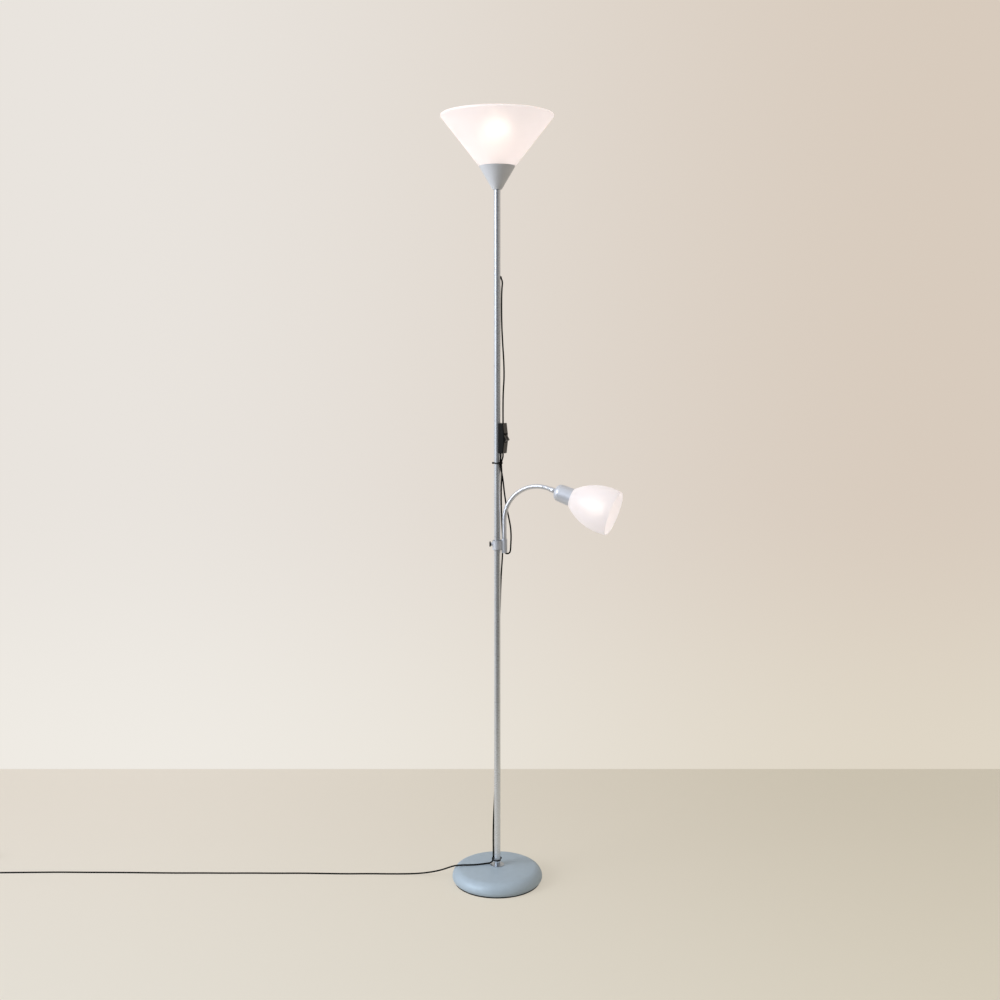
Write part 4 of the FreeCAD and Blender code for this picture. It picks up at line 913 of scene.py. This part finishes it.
def read_route(curve: bpy.types.Object) -> list[Vector]:
    """Reads the points of a bare curve's line, in order.

    Args:
        curve: a curve with no bevel.

    Returns:
        Points along it, close together.
    """
    bpy.context.scene.collection.objects.link(curve)
    bpy.context.view_layer.update()
    mesh = bpy.data.meshes.new_from_object(curve.evaluated_get(bpy.context.evaluated_depsgraph_get()))
    points = [v.co.copy() for v in mesh.vertices]
    bpy.data.objects.remove(curve)
    return points


def line_length(points: list[Vector]) -> float:
    """Returns the length of a line through the points."""
    return sum((b - a).length for a, b in zip(points, points[1:]))


@dataclass
class Cords:
    """The lamp's three cords, with the inline switch and the plug that they carry."""

    radius: float = 1.8 * MM
    switch_corner: Point = (0.0132, -0.0087, 1.0264)
    switch_turn: float = math.radians(-24)
    switch_length: float = 69 * MM
    entry_depth: float = 3 * MM
    entry_parting: float = -2.5 * MM
    entry_spacing: float = 12 * MM
    exit_height: float = 1.424
    exit_wall: float = 7.1 * MM
    exit_angle: float = math.radians(45)
    exit_start: float = 0.8 * MM
    exit_reach: float = 3.6 * MM
    socket_x: float = 16.5 * MM
    socket_top: float = 0.8025
    sleeve_split: float = 0.86
    swing_end: float = 0.8
    coil_x: float = -1.262
    coil_y: float = 0.056
    coil_turns: int = 4
    coil_radii: tuple[float, ...] = (22.0 * MM, 18.2 * MM, 18.2 * MM, 22.0 * MM)
    coil_levels: tuple[float, ...] = (1.85 * MM, 1.85 * MM, 5.6 * MM, 5.6 * MM)
    coil_overlap: float = 0.22
    coil_start: float = -math.pi / 2 - 0.12
    coil_step_from: float = 0.7
    coil_step: float = 0.3
    points_per_turn: int = 16
    plug_seat: Point = (-1.2822, 0.0681, 0.0069)
    plug_run_in: Point = (0.0006, 0.0065, 0.0006)
    plug_depth: Point = (0.0, 0.004, 0.0)

    def switch_point(self, side: int, level: float) -> Vector:
        """Returns a point in a cord entry of the switch.

        Args:
            side: -1 for the front entry, 1 for the back one.
            level: its height above the switch's lower end.

        Returns:
            The point in the row frame.
        """
        local = Vector((self.entry_parting, side * self.entry_spacing / 2, level))
        return Vector(self.switch_corner) + Matrix.Rotation(self.switch_turn, 3, "Z") @ local

    def coil_route(self) -> list[Point]:
        """Winds the put-away cord from the floor to the plug's sleeve.

        Returns:
            The control points of its turns.
        """
        steps = int(self.points_per_turn * (self.coil_turns + self.coil_overlap))
        route: list[Point] = []
        for step in range(steps):
            turn = step / self.points_per_turn
            index = min(int(turn), self.coil_turns - 1)
            following = min(index + 1, self.coil_turns - 1)
            share = max(0.0, min(1.0, (turn - index - self.coil_step_from) / self.coil_step))
            radius = self.coil_radii[index] * (1 - share) + self.coil_radii[following] * share
            level = self.coil_levels[index] * (1 - share) + self.coil_levels[following] * share
            angle = self.coil_start - 2 * math.pi * turn
            x = self.coil_x + radius * math.cos(angle)
            y = self.coil_y + radius * math.sin(angle)
            route.append((x, y, level))
        seat = Vector(self.plug_seat)
        ends = (seat - Vector(self.plug_run_in), seat, seat + Vector(self.plug_depth))
        return route + [tuple(point) for point in ends]

    def build_uplight_cord(self) -> None:
        """Builds the cord from the pole's hole down to the switch."""
        way = Vector((math.sin(self.exit_angle), 0.0, -math.cos(self.exit_angle)))
        wall = Vector((self.exit_wall, 0.0, self.exit_height))
        hole = [tuple(wall + way * self.exit_start), tuple(wall + way * self.exit_reach)]
        levels = (self.switch_length + self.entry_depth, self.switch_length - self.entry_depth)
        route = hole + UPLIGHT_CORD + [tuple(self.switch_point(1, level)) for level in levels]
        cord = nurbs_curve("uplight_lead", route, self.radius)
        self.finish_cord(cord, route, "uplight_cord")

    def build_supply_cord(self) -> None:
        """Builds the cord from the switch to the plug, with its put-away coil."""
        entry = [tuple(self.switch_point(1, level)) for level in (self.entry_depth, -self.entry_depth)]
        route = entry + SUPPLY_CORD + self.coil_route()
        cord = nurbs_curve("supply_lead", route, self.radius)
        self.finish_cord(cord, route, "supply_cord")
        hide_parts("supply_cord_coil")

    def finish_cord(
        self, cord: bpy.types.Object, route: list[Point], node: str
    ) -> None:
        """Args:
            cord: the curve.
            route: its control points.
            node: the CAD node that it stands for.
        """
        bpy.context.scene.collection.objects.link(cord)
        cord.data.materials.append(Finishes.SHEATH.material())
        length = line_length(read_route(nurbs_curve(f"{cord.name}_line", route)))
        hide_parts(node)
        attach(cord, "stand")
        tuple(route[0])
        log.info("%s is %.3f m long", cord.name, length)

    def tube_mesh(self, name: str, points: list[Vector]) -> bpy.types.Mesh:
        """Makes a round tube along the points.

        Args:
            name: the mesh's name.
            points: the tube's middle line.

        Returns:
            The mesh.
        """
        turns = round_turns(CORD_SIDES)
        side = Vector((0.0, 1.0, 0.0))
        rings = []
        for index, point in enumerate(points):
            before = points[max(index - 1, 0)]
            after = points[min(index + 1, len(points) - 1)]
            way = (after - before).normalized()
            side = (side - way * side.dot(way)).normalized()
            up = way.cross(side)
            rings.append([point + (side * math.cos(t) + up * math.sin(t)) * self.radius for t in turns])
        return sweep(rings, name)

    def build_reading_cord(self) -> None:
        """Builds the cord from the switch to the arm's socket, in two lengths.
        """
        start = self.switch_point(-1, self.entry_depth)
        mouth = self.switch_point(-1, -self.entry_depth)
        end = (self.socket_x, 0.0, self.socket_top)
        route = [tuple(start), tuple(mouth)] + READING_CORD + [end]
        points = read_route(nurbs_curve("reading_line", route))
        split = next(i for i, p in enumerate(points) if p.z < self.sleeve_split)
        lengths = (
            ("reading_lead_upper", points[: split + 1], "stand", "collar", mouth.z, self.sleeve_split),
            ("reading_lead_lower", points[split:], "collar", "clamp", self.sleeve_split, self.swing_end),
        )
        for name, part, upper, lower, top, bottom in lengths:
            piece = new_object(name, self.tube_mesh(name, part), Finishes.SHEATH)
            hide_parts("reading_cord")
            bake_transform(piece)
            tuple(part[0])
            line_length(part)
            [tuple(p) for p in part]
            log.info("%s is %.3f m long", name, line_length(part))

    def build(self) -> None:
        """Builds the cords and dresses what is on them."""
        self.build_uplight_cord()
        self.build_supply_cord()
        self.build_reading_cord()
        dress(Finishes.SHEATH, "uplight_inner_lead")
        dress(Finishes.RUBBER, "cord_exit_grommet")
        moulded_rounds = {
            "switch_lower_shell": 0.6 * MM,
            "switch_upper_shell": 0.6 * MM,
            "plug_body": 1.6 * MM,
            "switch_rocker_1": 0.5 * MM,
            "switch_rocker_2": 0.5 * MM,
        }
        for node, width in moulded_rounds.items():
            dress(Finishes.BLACK_ABS, node)
            soften_edges(node, width)
        for node in ("cord_tie_upper", "cord_tie_base"):
            dress(Finishes.BLACK_NYLON, node)
            soften_edges(node, 0.25 * MM, segments=2)
        dress(Finishes.ZINC, "rocker_axle", "switch_screws")
        dress(Finishes.BRIGHT, "plug_pins")
        log.info("cords ready")


# ---------------------------------------------------------------- stand and uplight


@dataclass
class Stand:
    """The base and the pole in its four screwed sections."""

    sections: int = 4

    def build(self) -> None:
        """Dresses the base and the pole."""
        dress(Finishes.RUBBER, "foot_pad")
        dress(Finishes.CAST_IRON, "base_weight")
        dress(Finishes.BASE_PAINT, "base_cover")
        dress(Finishes.ZINC, "base_bottom_plate", "base_bolt", "base_washer")
        dress(Finishes.ZINC, "pole_washer", "pole_foot_bush", "pole_top_bush")
        dress(Finishes.SILVER_PAINT, *(f"pole_tube_{section}" for section in range(1, self.sections + 1)))
        dress(Finishes.ZINC, *(f"pole_joint_{joint}" for joint in range(1, self.sections)))
        log.info("stand ready")


@dataclass
class Uplight:
    """The cone uplight on the pole's top."""

    def build(self) -> None:
        """Dresses the uplight."""
        dress(Finishes.CUP_PAINT, "uplight_cup")
        dress(Finishes.ZINC, "uplight_nipple")
        dress(Finishes.HOLDER, "uplight_lampholder", "uplight_shade_ring")
        dress(Finishes.BRASS, "uplight_contact")
        dress(Finishes.BRIGHT, "uplight_bulb_cap")
        dress(Finishes.FROSTED, "uplight_shade")
        dress(Finishes.UPLIGHT_BULB, "uplight_bulb_glass")
        log.info("uplight ready")


# ---------------------------------------------------------------- clamp, gooseneck and reading head


@dataclass
class Clamp:
    """The collar on the pole with the arm's socket and its thumb screw."""

    def build(self) -> None:
        """Dresses the clamp."""
        dress(Finishes.HEAD_PAINT, "clamp_body")
        soften_edges("clamp_body", 0.4 * MM)
        dress(Finishes.GREY_NYLON, "clamp_liner")
        dress(Finishes.ZINC, "clamp_screw")
        dress(Finishes.BLACK_ABS, "clamp_knob")
        log.info("clamp ready")


@dataclass
class Gooseneck:
    """The wound hose between the clamp and the head: a straight foot and one round bend."""

    foot: Point = (0.0165, 0.0, 0.830)
    straight: float = 40 * MM
    bend_radius: float = 82 * MM
    bend_angle: float = math.radians(108.5)
    yaw: float = math.radians(-20)
    radius: float = 5.3 * MM
    pitch: float = 3.0 * MM
    groove: float = 0.3 * MM
    segments: int = 7
    step: float = 0.5 * MM
    around: int = 28
    ferrule_gap: float = 2.6 * MM

    @property
    def bodies(self) -> list[str]:
        """The bodies that the hose runs through, from the clamp to the head."""
        return ["clamp"] + [f"hose_{number}" for number in range(2, self.segments + 1)] + ["head"]

    @property
    def length(self) -> float:
        """The hose's length along its middle line."""
        return self.straight + self.bend_radius * self.bend_angle

    def frame_at(self, distance: float) -> Matrix:
        """Places the hose's own frame, with z along it and y across the bend.

        Args:
            distance: how far along the hose.

        Returns:
            The frame in the row frame.
        """
        turn = min(max(0.0, distance - self.straight) / self.bend_radius, self.bend_angle)
        reach = self.bend_radius * (1 - math.cos(turn))
        rise = min(distance, self.straight) + self.bend_radius * math.sin(turn)
        beyond = max(0.0, distance - self.length)
        place = Matrix.Translation((reach, 0.0, rise)) @ Matrix.Rotation(turn, 4, "Y")
        turned = Matrix.Translation(self.foot) @ Matrix.Rotation(self.yaw, 4, "Z")
        return turned @ place @ Matrix.Translation((0.0, 0.0, beyond))

    def ring(self, distance: float) -> list[Vector]:
        """Draws the hose's wavy outline: a wire's crest and the groove beside it.

        Args:
            distance: how far along the hose.

        Returns:
            The outline's points in the row frame.
        """
        place = self.frame_at(distance)
        points = []
        for turn in round_turns(self.around):
            phase = 2 * math.pi * distance / self.pitch - turn
            radius = self.radius - self.groove * (0.5 - 0.5 * math.cos(phase)) ** 2
            points.append(place @ Vector((radius * math.cos(turn), radius * math.sin(turn), 0.0)))
        return points

    def build_length(self, number: int) -> None:
        """Builds the stretch of hose round one pivot, from halfway before it to halfway after it.

        Args:
            number: the pivot's number, from 1 at the foot.
        """
        segment = self.length / self.segments
        low = (number - 0.5) * segment
        high = (number + 0.5) * segment
        start = 0.0 if number == 1 else low
        end = self.length + self.ferrule_gap if number == self.segments else high
        steps = max(2, round((end - start) / self.step))
        rings = [self.ring(start + (end - start) * i / steps) for i in range(steps + 1)]
        piece = new_object(f"hose_{number}", sweep(rings, f"hose_{number}"), Finishes.HOSE)
        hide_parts(f"gooseneck_{number}")
        tuple(self.frame_at(low).translation)
        tuple(self.frame_at(min(high, end)).translation)
        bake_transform(piece)

    def build(self) -> None:
        """Builds the hose in lengths, one round each joint."""
        dress(Finishes.HOSE, "gooseneck_lower_ferrule")
        for number in range(1, self.segments + 1):
            self.build_length(number)
        log.info("gooseneck of %.3f m ready", self.length)


@dataclass
class ReadingHead:
    """The cup, lampholder, bulb and bell shade at the arm's end."""

    ferrule_radius: float = 6.2 * MM
    ferrule_start: float = 2.4 * MM
    ferrule_end: float = 15.5 * MM
    ferrule_inside: float = 0.3
    bead: float = 0.5 * MM

    def build_ferrule(self, place: Matrix) -> None:
        """Builds the turned ferrule between the hose and the cup, with two beads.

        Args:
            place: the head's own frame.
        """
        start, end, radius, bead = self.ferrule_start, self.ferrule_end, self.ferrule_radius, self.bead
        inside = radius * self.ferrule_inside
        outline = [
            (inside, start),
            (radius - bead, start),
            (radius, start + bead),
            (radius, start + 3 * bead),
            (radius - bead, start + 4 * bead),
            (radius - bead, start + 6 * bead),
            (radius, start + 7 * bead),
            (radius, end - bead),
            (radius - bead, end),
            (inside, end),
        ]
        mesh = sweep(turned_rings(outline, place), "hose_ferrule")
        piece = new_object("hose_ferrule", mesh, Finishes.HOSE)
        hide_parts("gooseneck_top_ferrule")
        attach(piece, "head")

    def build(self, place: Matrix) -> None:
        """Builds and dresses the head.

        Args:
            place: the head's own frame.
        """
        self.build_ferrule(place)
        dress(Finishes.HEAD_PAINT, "reading_cup")
        dress(Finishes.HOLDER, "reading_lampholder", "reading_shade_ring")
        dress(Finishes.BRASS, "reading_contact")
        dress(Finishes.BRIGHT, "reading_bulb_cap")
        dress(Finishes.FROSTED_BELL, "reading_shade")
        dress(Finishes.READING_BULB, "reading_bulb_glass")
        log.info("reading head ready")


def main() -> None:
    """Builds the room, the cords and then the lamp from its foot up."""
    logging.basicConfig(level=logging.INFO, format="%(name)s: %(message)s")
    Studio().build()
    Cords().build()
    Stand().build()
    Uplight().build()
    Clamp().build()
    gooseneck = Gooseneck()
    gooseneck.build()
    ReadingHead().build(gooseneck.frame_at(gooseneck.length))


if __name__ == "__main__":
    main()
